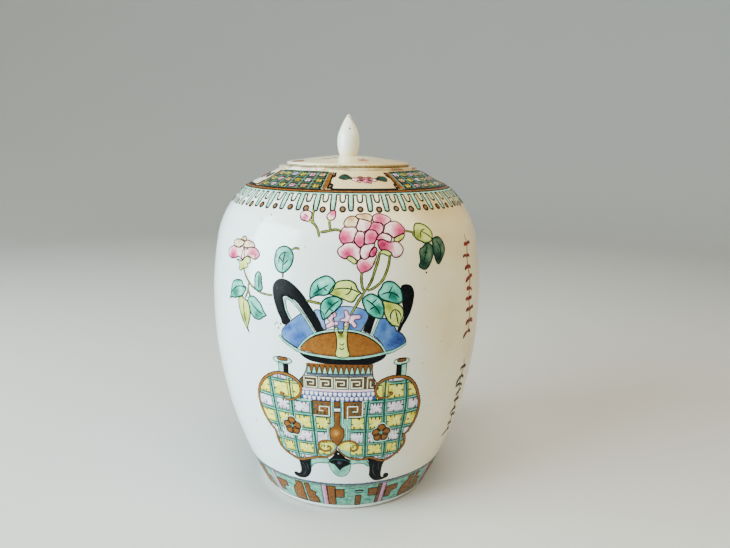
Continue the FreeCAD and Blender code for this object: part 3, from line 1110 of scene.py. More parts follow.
def vase(move=None, name="vase"):
    """The three-legged vase with two spouts, two handles and a wide blue mouth."""
    paint = Paints(name, move)
    # the lattice body
    body = BODY_LEFT[6:] + BODY_RIGHT[1:38] + [
        (23.0, 121.0), (23.0, 121.0), (-36.8, 121.0), (-36.8, 121.0),
    ]
    paint.shape("mint", body, flat(0.42), 0)
    rough = hermite(body, True, 3.0)
    lattice(paint, rough, COLUMNS_LEFT)
    lattice(paint, rough, COLUMNS_RIGHT)
    bands(paint, COLUMNS_LEFT, BARS_LEFT)
    bands(paint, COLUMNS_RIGHT, BARS_RIGHT)
    # its rolled shoulders and feet, drawn as one orange cord on each side
    paint.shape(
        "yellow",
        [
            (-38.2, 128), (-40, 134), (-45, 137), (-52, 134.5), (-53.5, 127), (-52, 122.5),
            (-47, 121), (-41, 123.5),
        ],
        fade(4, 0.3, 0.75), 1
    )
    paint.shape(
        "yellow",
        [(24.5, 130), (26, 134.5), (31, 136.5), (36, 133), (36.5, 128), (33, 125), (27, 125)],
        fade(4, 0.25, 0.65), 1
    )
    paint.edged("orange", "ink", BODY_LEFT, 2.1, 3, 0.55, 0.48)
    paint.edged("orange", "ink", BODY_RIGHT, 2.1, 3, 0.5, 0.48)
    for end in ((-53.6, 123.4), (35.6, 126.0)):
        paint["ink"].dot(end, 2.0, 3, 0.35)
        paint["orange"].dot(end, 1.5, 5, 0.6)
    for curl, middle in ((CURL_LEFT, (-17.4, 78.6)), (CURL_RIGHT, (1.5, 78.6))):
        paint.shape("yellow", oval(middle, 7.6, 5.0), glow(middle, 8, 0.95, 0.35), 2)
        paint.edged("orange", "ink", curl, 1.7, 3, 0.6, 0.35)
    paint.stroke("brown", [(-24, 76), (-26, 71), (-22, 67.5)], 1.2, 3, 0.5)
    # neck, from the rim down
    paint.shape(
        "orange", corners([(-30.5, 152.6), (-30.2, 144.4), (18.8, 144.4), (19.3, 152.6)]),
        flat(0.35), 0, step=3
    )
    tips = [-29.0 + 4.12 * k for k in range(12)]
    for tip in tips:
        paint.shape(
            "mint", corners([(tip - 1.9, 144.4), (tip + 1.9, 144.4), (tip, 151.4)]),
            fade(1.2, 0.4, 0.9), 1, "ink", 0.4, 2
        )
    paint.stroke("slate", [(-31.2, 143.5), (-6, 143.2), (19.4, 143.5)], 2.2, 2, 0.45, taper=0.9)
    paint.shape(
        "brown",
        corners(
            [
                (-32.6, 142.4), (-36.6, 138), (-36.2, 131.2), (22.6, 131.2), (22.4, 136.6),
                (19.6, 142.4),
            ]
        ),
        flat(0.25), 0, step=3
    )
    for centre in FRET_CENTRES:
        middle = 136.6
        points = corners([(centre + x, middle + y) for x, y in FRET])
        paint["ink"].line(points, 2.5, 1, 0.7, 0.9, step=2)
        paint["cream"].line(points, 1.15, 2, 0.5, 0.9, step=2)
        paint["cream"].line([(centre - 5.8, 131.6), (centre - 5.7, 141.6)], 0.8, 2, 0.35, 0.9)
    for points in ([(16, 132), (16, 141), (21, 141)], [(20.6, 133), (18.4, 133), (18.4, 138)]):
        paint["cream"].line(corners(points), 0.9, 2, 0.4, 0.9)
    for side in (
        [(-30.8, 152), (-31.4, 146), (-33.6, 141.6), (-37.2, 137), (-37.4, 131)],
        [(19.6, 152), (19.4, 146), (20.4, 141), (23.2, 136), (23.2, 131)]
    ):
        paint.stroke("ink", side, 0.6, 3, 0.4, taper=0.8)
    paint.stroke("mauve", [(-36.5, 130.4), (-7, 130.2), (22.4, 130.4)], 1.5, 2, 0.75, taper=0.9)
    paint.shape(
        "blue", corners([(-37, 129.6), (-37.2, 121.3), (23.2, 121.3), (22.2, 129.6)]), flat(0.2), 1,
        step=3
    )
    for s, offset, rim in ((127.2, 0.0, 0.55), (123.3, 1.85, 0.3)):
        for k in range(16):
            u = -35 + offset + 3.72 * k
            if u < 21.5:
                cup = [
                    (u - 1.6, s + 1.9), (u - 1.6, s + 1.9), (u - 1.6, s), (u - 0.9, s - 1.7),
                    (u, s - 2.0), (u + 0.9, s - 1.7), (u + 1.6, s), (u + 1.6, s + 1.9),
                    (u + 1.6, s + 1.9)
                ]
                paint["lilac"].patch(cup, 2, glow((u, s + 0.4), 2.2, 0.95, rim), 1.2, 0.8)
    # the black rim, the mouth and the blue panels of the lip
    paint.shape("black", UNDER_RIM, flat(0.35), 1)
    paint.shape(
        "blue", PANEL_LEFT, darkest(glow((-38, 170), 10, 0.2, 0.62), glow((-44, 179), 5, 0.3, 0.7)),
        0, step=2.0
    )
    paint.shape(
        "blue", PANEL_RIGHT, darkest(glow((37, 168), 12, 0.1, 0.55), glow((27, 181), 6, 0.35, 0.6)),
        0, step=2.0
    )
    paint.shape(
        "blue", PANEL_MIDDLE, darkest(glow((3, 184), 10, 0.25, 0.66), glow((10, 190), 7, 0.3, 0.7)),
        0, step=2.0
    )
    paint.shape("blue", PANEL_SLIVER, flat(0.75), 0)
    for panel in (PANEL_LEFT, PANEL_RIGHT, PANEL_MIDDLE, PANEL_SLIVER):
        paint.stroke("ink", panel, 0.55, 2, 0.6, closed=True)
    paint.shape(
        "orange", MOUTH, darkest(leaning((0, 159), (0, 178), 0.62, 0.4), fade(1.5, 0.3, 0.62)), 1
    )
    paint.edged(
        "mint", "ink",
        [
            (-52.6, 172), (-49.1, 168.2), (-44.4, 165.2), (-39.6, 162.6), (-34.9, 160.8),
            (-20, 158.5), (-10, 157.6), (0, 157.2), (10, 157.6), (20, 158.9), (29, 160.5),
            (35, 161.6), (40, 163.6), (45.4, 166.6),
        ],
        1.9, 2, 0.55, 0.45, taper=0.6
    )
    paint.edged(
        "mint", "ink",
        [
            (-36, 164.2), (-33.6, 167.6), (-30, 171.3), (-26, 174.2), (-21, 176.4), (-14, 178.2),
            (-7, 178.9), (0.9, 178.9), (5.6, 178.3), (10.4, 177), (15.1, 175), (19.8, 172.2),
            (23.4, 169.2), (26.4, 165.6), (28.7, 161.4),
        ],
        1.5, 2, 0.6, 0.4, taper=0.8
    )
    paint.stroke(
        "ink",
        [
            (-34.6, 164.6), (-31, 169), (-26, 172.7), (-20.6, 175), (-12, 176.9), (-3, 177.7),
            (4, 177.2), (12, 175), (19, 171), (24, 166.6), (26.9, 162.3),
        ],
        0.5, 2, 0.35
    )
    # the tree trunk in the mouth
    paint.shape(
        "yellowgreen", TRUNK, darkest(glow((-4.4, 175), 4.5, 0.1, 0.8), fade(1.5, 0.45, 0.8)), 2,
        "ink", 0.5, 4, 1.6
    )
    for s in (168.4, 165.0):
        paint.stroke("ink", [(-5.6, s + 1.0), (-3.9, s - 0.8), (-2.2, s + 1.0)], 0.7, 4, 0.2)
    # handles, each with a painted highlight: the black is paler round a spot near its top
    paint.shape("black", HANDLE_LEFT, glow((-54, 209), 6, 0.55, 0.3), 1)
    paint.shape("black", HANDLE_RIGHT, glow((46, 205), 6, 0.5, 0.3), 1)
    paint.shape(
        "black",
        [
            (15.9, 190.6), (15.9, 190.6), (21.2, 188), (21.2, 188), (20, 184.4), (17.4, 175.3),
            (17.4, 175.3), (11.2, 178.3), (11.2, 178.3), (13.3, 183.8),
        ],
        flat(0.3), 1
    )
    paint.edged(
        "mint", "ink", [(23.6, 187.2), (21.4, 182), (18.6, 175)], 1.2, 2, 0.6, 0.35, taper=0.8
    )
    paint.edged(
        "mint", "ink",
        [
            (-42.6, 184.9), (-45.2, 189), (-47, 193.6), (-47.7, 198), (-46.9, 200.6), (-44, 200.4),
            (-40.5, 198), (-36.5, 194), (-33, 189.6), (-29.5, 184.7), (-26.3, 179.8),
            (-23.5, 175.4),
        ],
        1.3, 2, 0.6, 0.4, taper=0.8
    )
    for u, s in ((-51.5, 180.8), (-54.6, 181.4), (-56.3, 180.2), (-53.2, 177.6)):
        paint["black"].line([(u, s + 0.8), (u + 0.4, s - 1.4)], 1.1, 1, 0.2)
    # two orange flowers on the lattice, each on a white and green ground
    petals = ((0.0, 5.6), (-5.2, 0.6), (-3.2, -5.0), (3.4, -5.0), (5.4, 0.8))
    for centre, ring in (((-47.2, 95.2), 9.0), ((30.0, 91.0), 8.6)):
        paint.shape("mint", oval(centre, ring * 0.66, ring * 0.66, 0.2, 12), flat(0.3), 3)
        lobes = []
        for k, (dx, dy) in enumerate(petals):
            after = petals[(k + 1) % 5]
            lobes.append((centre[0] + dx * 1.62, centre[1] + dy * 1.62))
            lobes.append((centre[0] + (dx + after[0]) * 0.86, centre[1] + (dy + after[1]) * 0.86))
        paint["deepgreen"].line(lobes, 2.0, 3, 0.5, closed=True)
        paint["mint"].line(lobes, 1.3, 4, 0.95, closed=True)
        for dx, dy in petals:
            paint.shape(
                "orange", oval((centre[0] + dx * 0.86, centre[1] + dy * 0.86), 3.7, 3.5, 0, 8),
                fade(1.6, 0.05, 0.5), 4, "ink", 0.5, 5, 1.8
            )
        paint.shape("mint", oval(centre, 2.0, 1.9, 0, 8), flat(0.2), 5, step=1.2)
    # orange squares with their pale key lines, and the pale lines beside the post
    for square, tone in (
        (box(-27.2, -12.5, 107.2, 121.0), 0.42), (box(-2.0, 12.6, 106.0, 121.0), 0.34)
    ):
        paint.shape("orange", corners(square), flat(tone), 2, "ink", 0.5, 3)
    keys = (
        [(-27, 108), (-14, 108), (-14, 116.4), (-21.8, 116.4), (-21.8, 112.6), (-18.6, 112.6)],
        [(12.8, 121), (12.8, 107.4), (1.8, 107.4)],
        [(0.8, 104.5), (0.8, 116.8), (8.8, 116.8), (8.8, 112.0), (5.0, 112.0)],
    )
    for key in keys:
        paint.edged("cream", "ink", corners(key), 1.1, 3, 0.55, 0.3, taper=0.9)
    sides = (
        [
            (-11.9, 121), (-11.9, 121), (-11.9, 100.6), (-11.9, 100.6), (-15.6, 97.8),
            (-15.6, 97.8), (-15.8, 85),
        ],
        [
            (-3.1, 121), (-3.1, 121), (-3.1, 100.6), (-3.1, 100.6), (0.2, 97.8), (0.2, 97.8),
            (0.3, 85),
        ],
    )
    for side in sides:
        paint.edged("mint", "teal", side, 1.1, 3, 0.75, 0.4, taper=0.8)
    # the hanging post between them
    paint.shape("orange", corners(box(-10.0, -4.9, 116.0, 121.2)), flat(0.25), 3, "ink", 0.4, 4)
    paint.shape("lilac", corners(box(-10.2, -4.7, 112.2, 115.2)), flat(0.9), 3, "slate", 0.5, 4)
    post = [
        (-10.1, 111.6), (-10.1, 111.6), (-9.9, 105), (-10.1, 99.5), (-11.2, 97.6), (-13.3, 96.6),
        (-13.9, 93), (-13.7, 87.6), (-11.6, 84), (-8.0, 79.4), (-8.0, 79.4), (-4.4, 84),
        (-2.3, 87.6), (-1.9, 93), (-2.3, 96.4), (-4.3, 97.6), (-5.2, 99.5), (-5.2, 105),
        (-4.9, 111.6), (-4.9, 111.6),
    ]
    paint.shape("orange", post, glow((-9.0, 92), 6, 1.0, 0.4), 3, "ink", 0.5, 4, 1.8)
    # feet and the pendant between them
    paint.shape("black", LEG_LEFT, flat(0.35), 1)
    paint.shape("black", LEG_RIGHT, flat(0.35), 1)
    for points in (
        [(-44, 58), (-41, 50), (-46, 42)], [(-39, 57), (-38, 50)], [(27, 58), (27, 50), (31, 43)],
        [(32, 60), (32, 50)]
    ):
        paint.stroke("slate", points, 0.5, 2, 0.3)
    paint.shape(
        "mint",
        [
            (-33, 63), (-27, 65), (-21, 66), (-16.6, 65), (-16.6, 60.6), (-22, 60), (-28, 59),
            (-33, 55.7), (-34, 54),
        ],
        fade(2, 0.2, 0.6), 0, "teal", 0.5, 2
    )
    paint.shape(
        "mint",
        [
            (4, 65.4), (10, 64.4), (18, 64.8), (20.2, 62), (21.6, 56), (18, 58.7), (12, 60.2),
            (4, 60.4),
        ],
        fade(2, 0.2, 0.6), 0, "teal", 0.5, 2
    )
    paint.shape(
        "mint",
        [
            (-16.6, 60), (-15.6, 55.7), (-13.4, 50.7), (-9.9, 46.6), (-4.9, 45.1), (0.1, 46.8),
            (3, 50.7), (4.1, 55.7), (4.1, 59.6),
        ],
        glow((-6, 52), 9, 0.15, 0.6), 0, "teal", 0.6, 2
    )
    paint.shape(
        "black",
        [
            (-8.8, 76), (-8.8, 76), (-12.7, 67.6), (-16.6, 62.5), (-15.4, 60.2), (-12, 59),
            (-9.1, 55.7), (-5.9, 51), (-5.9, 51), (-4.1, 54.3), (-0.6, 56.6), (3.7, 59.3),
            (4.3, 62.9), (-0.6, 66.8), (-4.9, 71.6),
        ],
        flat(0.3), 2
    )
    paint.shape(
        "slate", [(-6.6, 63.8), (-8.6, 61.5), (-6.2, 59.0), (-3.8, 61.4)], flat(0.1), 3, step=1.8
    )
    paint["cream"].dot((-7.2, 71.0), 0.8, 4, 1.0)
    # the two small spouts on the shoulders
    for side in (-1, 1):
        neck = -50.0 if side < 0 else 42.6
        light, dark = (box(neck - 4.4, neck, 139.6, 150.4), box(neck, neck + 4.4, 139.6, 150.4))
        if side > 0:
            light, dark = dark, light
        paint.shape("mint", corners(light), flat(0.6), 0, "ink", 0.5, 2)
        paint.shape("black", corners(dark), flat(0.3), 0)
        rim = (neck - 0.8, 152.0) if side < 0 else (neck + 0.1, 152.4)
        paint.shape("mint", oval(rim, 8.2 if side < 0 else 6.6, 2.7), flat(0.85), 1, "ink", 0.5, 3)
        paint.shape(
            "orange", oval((rim[0], rim[1] + 0.9), 4.9 if side < 0 else 4.0, 1.45), flat(0.3), 2,
            "ink", 0.4, 3, 1.6
        )
    paint.build()


vase()

# ---------------------------------------------------------------- stems, leaves and flowers


def leaf(paint, colour, outline, veins, deep):
    """A leaf with its dark place, an outline and the veins drawn with a fine brush."""
    tone = darkest(glow(deep, 7.5, 0.12, 0.72), fade(1.6, 0.38, 0.8))
    paint.shape(colour, outline, tone, 2, "deepgreen", 0.75, 4, 2.0)
    for vein in veins:
        paint.stroke("deepgreen", vein, 0.75, 4, 0.3)


def stem(paint, points, width=1.5):
    """A dark stroke with a thinner green one on it."""
    paint["ink"].line(points, width + 0.9, 2, 0.6, 0.75)
    paint["yellowgreen"].line(points, width * 0.62, 3, 0.12, 0.75)


def petal(paint, outline, base, near, reach, colour="pink"):
    """A petal whose wash is deepest at its base and fades to white within its reach."""
    tone = darkest(glow(base, reach * 0.92, near - 0.04, 0.95), fade(0.6, 0.7, 1.0))
    paint.shape(colour, outline, tone, 2, "maroon", 0.68, 4, 1.7)


PEONY = (
    # colour, outline, the place where the colour is deepest, its depth, the reach of the wash
    (
        "tan",
        [
            (-3.3, 257.5), (-2.5, 260), (-0.8, 262.1), (2.1, 263.5), (5.4, 263.5), (7.1, 262.5),
            (8.8, 260.4), (7.9, 257.9), (6.7, 255.4), (3.3, 255.2), (0, 255), (-2.5, 255.6),
        ],
        (2, 262), 0.3, 7
    ),
    (
        "tan",
        [
            (6.7, 263.8), (8.3, 265), (11.7, 265.4), (15.8, 265.6), (19.2, 264.6), (20.6, 262.5),
            (19.6, 260.4), (19.2, 259), (16.7, 260), (13.3, 260.8), (10, 261.5), (7.9, 262.1),
        ],
        (13, 264.5), 0.35, 7
    ),
    (
        "pink",
        [
            (20.8, 262.5), (22.5, 264.6), (25.8, 265.6), (29.6, 265), (32.9, 263.8), (35.4, 262.1),
            (36.5, 260), (35, 258.8), (32.1, 257.5), (29.6, 256.3), (27.5, 257.9), (23.3, 258.5),
            (20.8, 260),
        ],
        (27, 261), 0.3, 9
    ),
    (
        "pink",
        [
            (8.3, 260), (10, 261.3), (13.3, 260.6), (16.7, 259.8), (19.2, 258.3), (18.8, 256.3),
            (17.5, 254.2), (15, 252.5), (12.5, 251.3), (10, 252.1), (7.5, 252.5), (6.7, 254.6),
            (7.5, 257.5),
        ],
        (16, 256), 0.75, 6
    ),
    (
        "pink",
        [
            (19.2, 257.5), (21.7, 258.8), (25.4, 258.5), (27.9, 257.1), (29, 254.6), (28.5, 252.1),
            (26.7, 250.4), (23.8, 249.2), (22.5, 251.7), (19.2, 252.9), (16.7, 252.9),
            (18.3, 255.4),
        ],
        (22, 255), 0.28, 9
    ),
    (
        "pink",
        [
            (29.6, 253.3), (30.8, 256.3), (33.3, 257.9), (36.7, 259), (40, 259), (43.3, 257.5),
            (45.8, 255), (47.5, 251.7), (45.8, 249.2), (42.5, 248.5), (39.2, 247.5), (36.7, 246.7),
            (35.4, 247.5), (32.9, 249.6), (30.4, 250.2), (28.8, 250.4),
        ],
        (44, 251), 0.3, 12
    ),
    (
        "yellowgreen",
        [
            (36.7, 245), (39.2, 247.1), (42.5, 248.3), (46.3, 249.2), (44.6, 245.8), (42.1, 244.2),
            (39.2, 243.3),
        ],
        (42, 246), 0.5, 5
    ),
    (
        "pink",
        [
            (-6.3, 250), (-5.4, 252.1), (-3.3, 254.6), (0, 254.8), (3.8, 255), (6.7, 254.4),
            (7.7, 252.1), (6.3, 250), (5.4, 247.5), (4.6, 245), (2.5, 243.5), (-0.8, 243.3),
            (-3.8, 242.7), (-5.8, 245), (-6.7, 247.5),
        ],
        (-3, 246.5), 0.25, 10
    ),
    (
        "pink",
        [
            (7.9, 251.7), (10, 251.7), (12.5, 251), (13.1, 248.8), (12.7, 246.3), (12.7, 243.3),
            (11.3, 240.8), (9.6, 240.2), (7.5, 240.8), (6, 242.9), (4.8, 245), (5.2, 247.5),
            (6.5, 249.6),
        ],
        (9, 244), 0.35, 9
    ),
    (
        "pink",
        [
            (13.3, 249.2), (15, 251.7), (17.5, 252.9), (20.8, 252.5), (23.3, 250.8), (24.2, 249.2),
            (22.9, 247.5), (22.1, 245.4), (20.8, 243.3), (17.5, 242.5), (14.6, 242.3),
            (12.9, 242.9), (13.1, 245.8),
        ],
        (19, 247), 0.3, 10
    ),
    (
        "pink",
        [
            (22.9, 245.4), (24.2, 248.3), (26.7, 250), (30, 250), (32.9, 248.8), (35, 246.7),
            (34.6, 245), (32.9, 243.3), (30.8, 244.2), (28.3, 245.4), (25.4, 245.4),
        ],
        (25, 246), 0.5, 6
    ),
    (
        "pink",
        [
            (23.3, 243.3), (25, 245), (28.3, 245.4), (30.8, 244.2), (34.2, 243.3), (37.5, 243.8),
            (40.4, 242.9), (42.5, 240.8), (43.8, 238.3), (43.3, 235.8), (41.3, 233.3),
            (37.9, 232.1), (35, 232.9), (34.2, 234.6), (32.1, 236.7), (28.8, 237.9), (25.4, 238.1),
            (23.8, 240.8),
        ],
        (27, 242), 0.15, 14
    ),
    (
        "pink",
        [
            (-7.5, 238.3), (-6.3, 239.6), (-4.6, 240.8), (-2.5, 242.5), (0.8, 243.3), (4.2, 243.3),
            (6.3, 242.5), (7.9, 240.4), (9.4, 239.6), (9.2, 236.7), (9.4, 233.8), (9.2, 231.3),
            (7.1, 230.4), (4.6, 232.5), (1.3, 233.8), (-1.3, 231.7), (-4.2, 232.5), (-6.7, 234.6),
            (-7.5, 236.3),
        ],
        (0, 235), 0.25, 9
    ),
    (
        "pink",
        [
            (9.6, 238.3), (10.4, 240), (12.5, 241.7), (15.8, 242.3), (19.2, 242.5), (20.8, 242.5),
            (20, 240.4), (17.9, 238.3), (16.7, 235.4), (15.8, 232.9), (13.3, 231.5), (10.8, 232.1),
            (9.6, 234.2),
        ],
        (17, 234), 0.6, 7
    ),
    (
        "pink",
        [
            (16.7, 234.2), (17.1, 236.7), (19.2, 238.8), (21.3, 240), (22.5, 238.3), (21.7, 235.8),
            (20.4, 233.8), (18.8, 232.9),
        ],
        (20, 236), 0.1, 7
    ),
    (
        "pink",
        [
            (7.1, 228.3), (7.9, 230.4), (10, 231.7), (13.3, 231.3), (16.3, 232.9), (19.2, 233.3),
            (21.7, 234.2), (20.8, 230.8), (19.6, 227.9), (17.9, 225), (15, 222.9), (12.5, 222.1),
            (10.8, 221.3), (8.3, 223.8), (7.1, 225.8),
        ],
        (12.5, 224.5), 0.3, 10
    ),
)
CALYXES = (
    [
        (-0.8, 232.1), (0.8, 233.5), (3.8, 232.9), (6.7, 230.8), (6.7, 228.8), (5, 227.9),
        (2.5, 229.6), (0.4, 230.8),
    ],
    [
        (24.6, 235.4), (26.3, 237.5), (29.2, 237.7), (32.5, 236.7), (34.2, 234.6), (32.5, 233.3),
        (30, 233.8), (27.5, 235),
    ],
)
STEMS = (
    [(10.6, 222), (10.3, 217), (10.8, 212), (12, 208.5)],
    [(24.5, 236.5), (23, 230), (20.5, 223), (18, 216), (15.5, 211.5), (13, 208)],
    [(32.5, 234.5), (31.8, 229), (29.5, 222), (26, 215.5), (21.5, 211.5), (15, 208.5)],
    [(13.5, 209.5), (11, 205), (8, 200.5), (5.5, 196), (2.6, 191)],
    [(-4.8, 251.5), (-10, 253), (-14, 252.2), (-18, 251.3), (-22, 250.8)],
    [(-14, 253), (-15, 257), (-15.5, 260.5)],
    [(-22.5, 247), (-23.5, 250.5), (-25.5, 254.5), (-28, 257), (-32, 259)],
    [(-28, 257), (-29.5, 260), (-30, 264), (-30, 268)],
    [(-30.6, 200.2), (-25, 199.4), (-19.6, 198.5)],
)
BUDS = (
    (
        [
            (-40.5, 261.3), (-39.5, 260), (-36, 259), (-33, 258.8), (-31.5, 261), (-31, 263.5),
            (-32, 266), (-35, 267.2), (-38.5, 267), (-41, 265),
        ],
        (-37, 261),
    ),
    (
        [
            (-17.8, 264), (-17.5, 262), (-15.5, 260.2), (-13, 260.3), (-11, 262), (-10.5, 265),
            (-11, 267.5), (-13.5, 268), (-15.5, 266.8), (-16.5, 265.5),
        ],
        (-13, 266),
    ),
)
LEAVES_AT_MOUTH = (
    (
        "leaf",
        [
            (-27.6, 201.4), (-27.6, 201.4), (-27.9, 206.7), (-26.7, 212), (-23.8, 215.5),
            (-19.6, 217.9), (-15.5, 219.1), (-11.4, 217.3), (-9.1, 213.8), (-10.2, 210.2),
            (-12.6, 206.7), (-16.7, 204.9), (-22, 204.6), (-25.5, 203.2),
        ],
        (
            [(-25.5, 205), (-20, 209), (-14, 212.5)], [(-21, 208.4), (-22.5, 212.5)],
            [(-18, 210.5), (-15, 208)]
        ),
        (-22, 206),
    ),
    (
        "leaf",
        [
            (-17.9, 186.7), (-17.9, 186.7), (-19.6, 192.6), (-19.6, 197.3), (-17.9, 200.8),
            (-14.4, 203.2), (-10.2, 204.1), (-6.1, 203.2), (-3.8, 200.8), (-5.5, 197.3),
            (-8.5, 193.8), (-12.6, 190.2), (-16.1, 187.3),
        ],
        (
            [(-5.5, 201.5), (-11, 197.5), (-16.5, 190)], [(-11, 197.5), (-14.5, 199.5)],
            [(-13, 195), (-10.5, 193.5)]
        ),
        (-13, 200),
    ),
    (
        "leaf",
        [
            (11.2, 202), (13.9, 204.9), (17.4, 206.1), (20.9, 204.9), (23.9, 202.6), (26.2, 199.6),
            (27.4, 195.5), (26.8, 190.2), (25.6, 187.3), (25.6, 187.3), (22.1, 187.9), (18, 189.6),
            (14.5, 192.6), (12.4, 196.7),
        ],
        (
            [(13.5, 202), (19, 198), (24.6, 190)], [(18, 199), (22, 202)],
            [(20, 196.5), (16.5, 194.5)]
        ),
        (22, 194),
    ),
    (
        "leaf",
        [
            (22.7, 206.7), (25.1, 210.2), (26.8, 213.2), (29.8, 214.6), (33.9, 214.4), (37.4, 212),
            (40.4, 208.5), (41.8, 203.8), (42.1, 199.6), (42.1, 199.6), (39.2, 197.9),
            (35.1, 198.5), (30.4, 200.2), (25.6, 202),
        ],
        ([(25, 205), (32, 206.5), (39.5, 202)], [(31, 206.4), (34, 211)], [(33, 206), (31, 202.5)]),
        (34, 203),
    ),
    (
        "yellowgreen",
        [
            (-14, 206), (-14, 206), (-10.2, 212), (-7.3, 214.9), (-2.6, 216.1), (2.1, 215.8),
            (5.6, 213.8), (7.4, 209.6), (10.4, 206.7), (10.4, 206.7), (7.4, 204.9), (5.6, 202),
            (3.3, 200.2), (-0.2, 201.1), (-4.4, 202.9), (-8.5, 204.4),
        ],
        (
            [(-9.6, 209.3), (-3, 210.4), (3.3, 209.6), (8.5, 207)],
            [(2.7, 212.4), (2.3, 208.5), (-1.6, 205.5)]
        ),
        (-8, 206),
    ),
    (
        "yellowgreen",
        [
            (26.2, 200.2), (30.4, 199.6), (35.1, 198.5), (39.2, 196.7), (42.1, 193.8),
            (42.7, 189.1), (40.9, 184.4), (39.2, 179.6), (39.2, 179.6), (36.8, 181), (33.9, 181.4),
            (30.4, 185.5), (28, 190.2), (27.1, 195.5),
        ],
        (
            [(32.7, 186.1), (32.5, 190.2), (35.7, 193.5), (39.2, 191.4), (40.6, 187.3)],
            [(36.2, 193), (37.4, 188), (38.6, 182)]
        ),
        (31, 196),
    ),
)
LEAVES_RIGHT = (
    (
        "yellowgreen",
        [
            (56, 252.5), (57, 255), (59, 256.5), (62.5, 256.5), (66, 255.5), (69.5, 253.5),
            (72, 251), (73.3, 248), (72.8, 245.5), (70.5, 242), (67, 241.3), (64, 241.3),
            (61, 242.8), (57, 244.5), (55.3, 247), (55.8, 250),
        ],
        (
            [(72.5, 243.5), (68, 247.4), (63, 250)],
            [(61.5, 245.5), (61.5, 248.5), (63.5, 251), (66.5, 251.5)]
        ),
        (58, 247),
    ),
    (
        "shadeleaf",
        [
            (58.3, 235), (59, 237), (61.5, 238), (64, 240), (66.5, 241), (69.5, 240), (71.5, 237.5),
            (71.8, 234), (70.5, 230), (68.5, 226.5), (65.5, 223), (62.5, 221.5), (59.5, 222.5),
            (57, 224.8), (58.3, 227), (58.5, 231),
        ],
        ([(62, 233), (64, 234.4), (66, 233)], [(66, 239), (63.5, 232), (61, 225)]), (61, 226)
    ),
    (
        "shadeleaf",
        [
            (72.8, 243.5), (75, 244.5), (78.5, 245), (81.5, 243.5), (83.5, 240.5), (84.8, 236.5),
            (84, 232.5), (81.5, 229), (79, 226), (76.5, 224.3), (74, 227), (72.8, 231), (72, 235),
            (72, 239.5),
        ],
        ([(75.5, 242.5), (79.6, 236), (77, 227)],), (77, 229)
    ),
)
LEAVES_LEFT = (
    (
        "leaf",
        [
            (-107.3, 191.4), (-107.3, 191.4), (-105.9, 195.3), (-104.8, 201.4), (-102.6, 205.9),
            (-98.1, 207.8), (-94.2, 208.4), (-90.9, 207.8), (-89.2, 204.8), (-85.9, 203.7),
            (-87.6, 199.8), (-90.3, 196.4), (-95.3, 194.8), (-99.8, 193.4), (-104.2, 193.1),
        ],
        ([(-86.4, 203.1), (-93.1, 203.7), (-99.8, 201.4), (-105.3, 195.9)],), (-99, 197)
    ),
    (
        "yellowgreen",
        [
            (-94.2, 194.2), (-90.9, 196.4), (-87.6, 194.8), (-83.1, 192.8), (-81.4, 189.2),
            (-80.6, 184.8), (-81.2, 180.3), (-82.6, 176.4), (-83.7, 173.1), (-82, 168.6),
            (-82, 168.6), (-85.3, 172.6), (-89.2, 177.6), (-92, 183.1), (-93.9, 188.7),
        ],
        ([(-88.5, 193), (-87.5, 184), (-84.6, 174.5)],), (-88, 180)
    ),
    (
        "leaf",
        [
            (-83.1, 193.1), (-82, 197), (-78.7, 198.1), (-75.3, 197.6), (-72, 195.3),
            (-69.2, 192.6), (-67, 188.7), (-63.9, 185.3), (-63.9, 185.3), (-67, 183.7),
            (-70.3, 181.4), (-73.7, 180.9), (-77.6, 182.6), (-80.3, 185.9), (-81.2, 189.8),
        ],
        ([(-80.5, 194.5), (-75, 189.5), (-67, 185.6)],), (-73, 185)
    ),
    (
        "leaf",
        [
            (-75.3, 204.2), (-76.2, 208.7), (-76.2, 213.7), (-74.8, 216.7), (-72.6, 217.6),
            (-70.3, 215.3), (-69.5, 210.9), (-68.9, 204.2),
        ],
        ([(-72.4, 216), (-72.2, 210), (-71.8, 205)],), (-69, 210)
    ),
    (
        "leaf",
        [
            (-58, 232), (-56.5, 236), (-53, 238.3), (-48, 238.5), (-44.5, 236.5), (-42.5, 233),
            (-43, 227), (-46, 222), (-50, 219.3), (-54, 219.8), (-57, 223), (-58.3, 228),
        ],
        (
            [(-50.5, 221), (-50.5, 228), (-49, 235)], [(-50.6, 227), (-54.5, 231)],
            [(-50.4, 225), (-46.5, 229)], [(-54, 226), (-52.5, 233), (-47, 234.5)]
        ),
        (-48, 232),
    ),
)
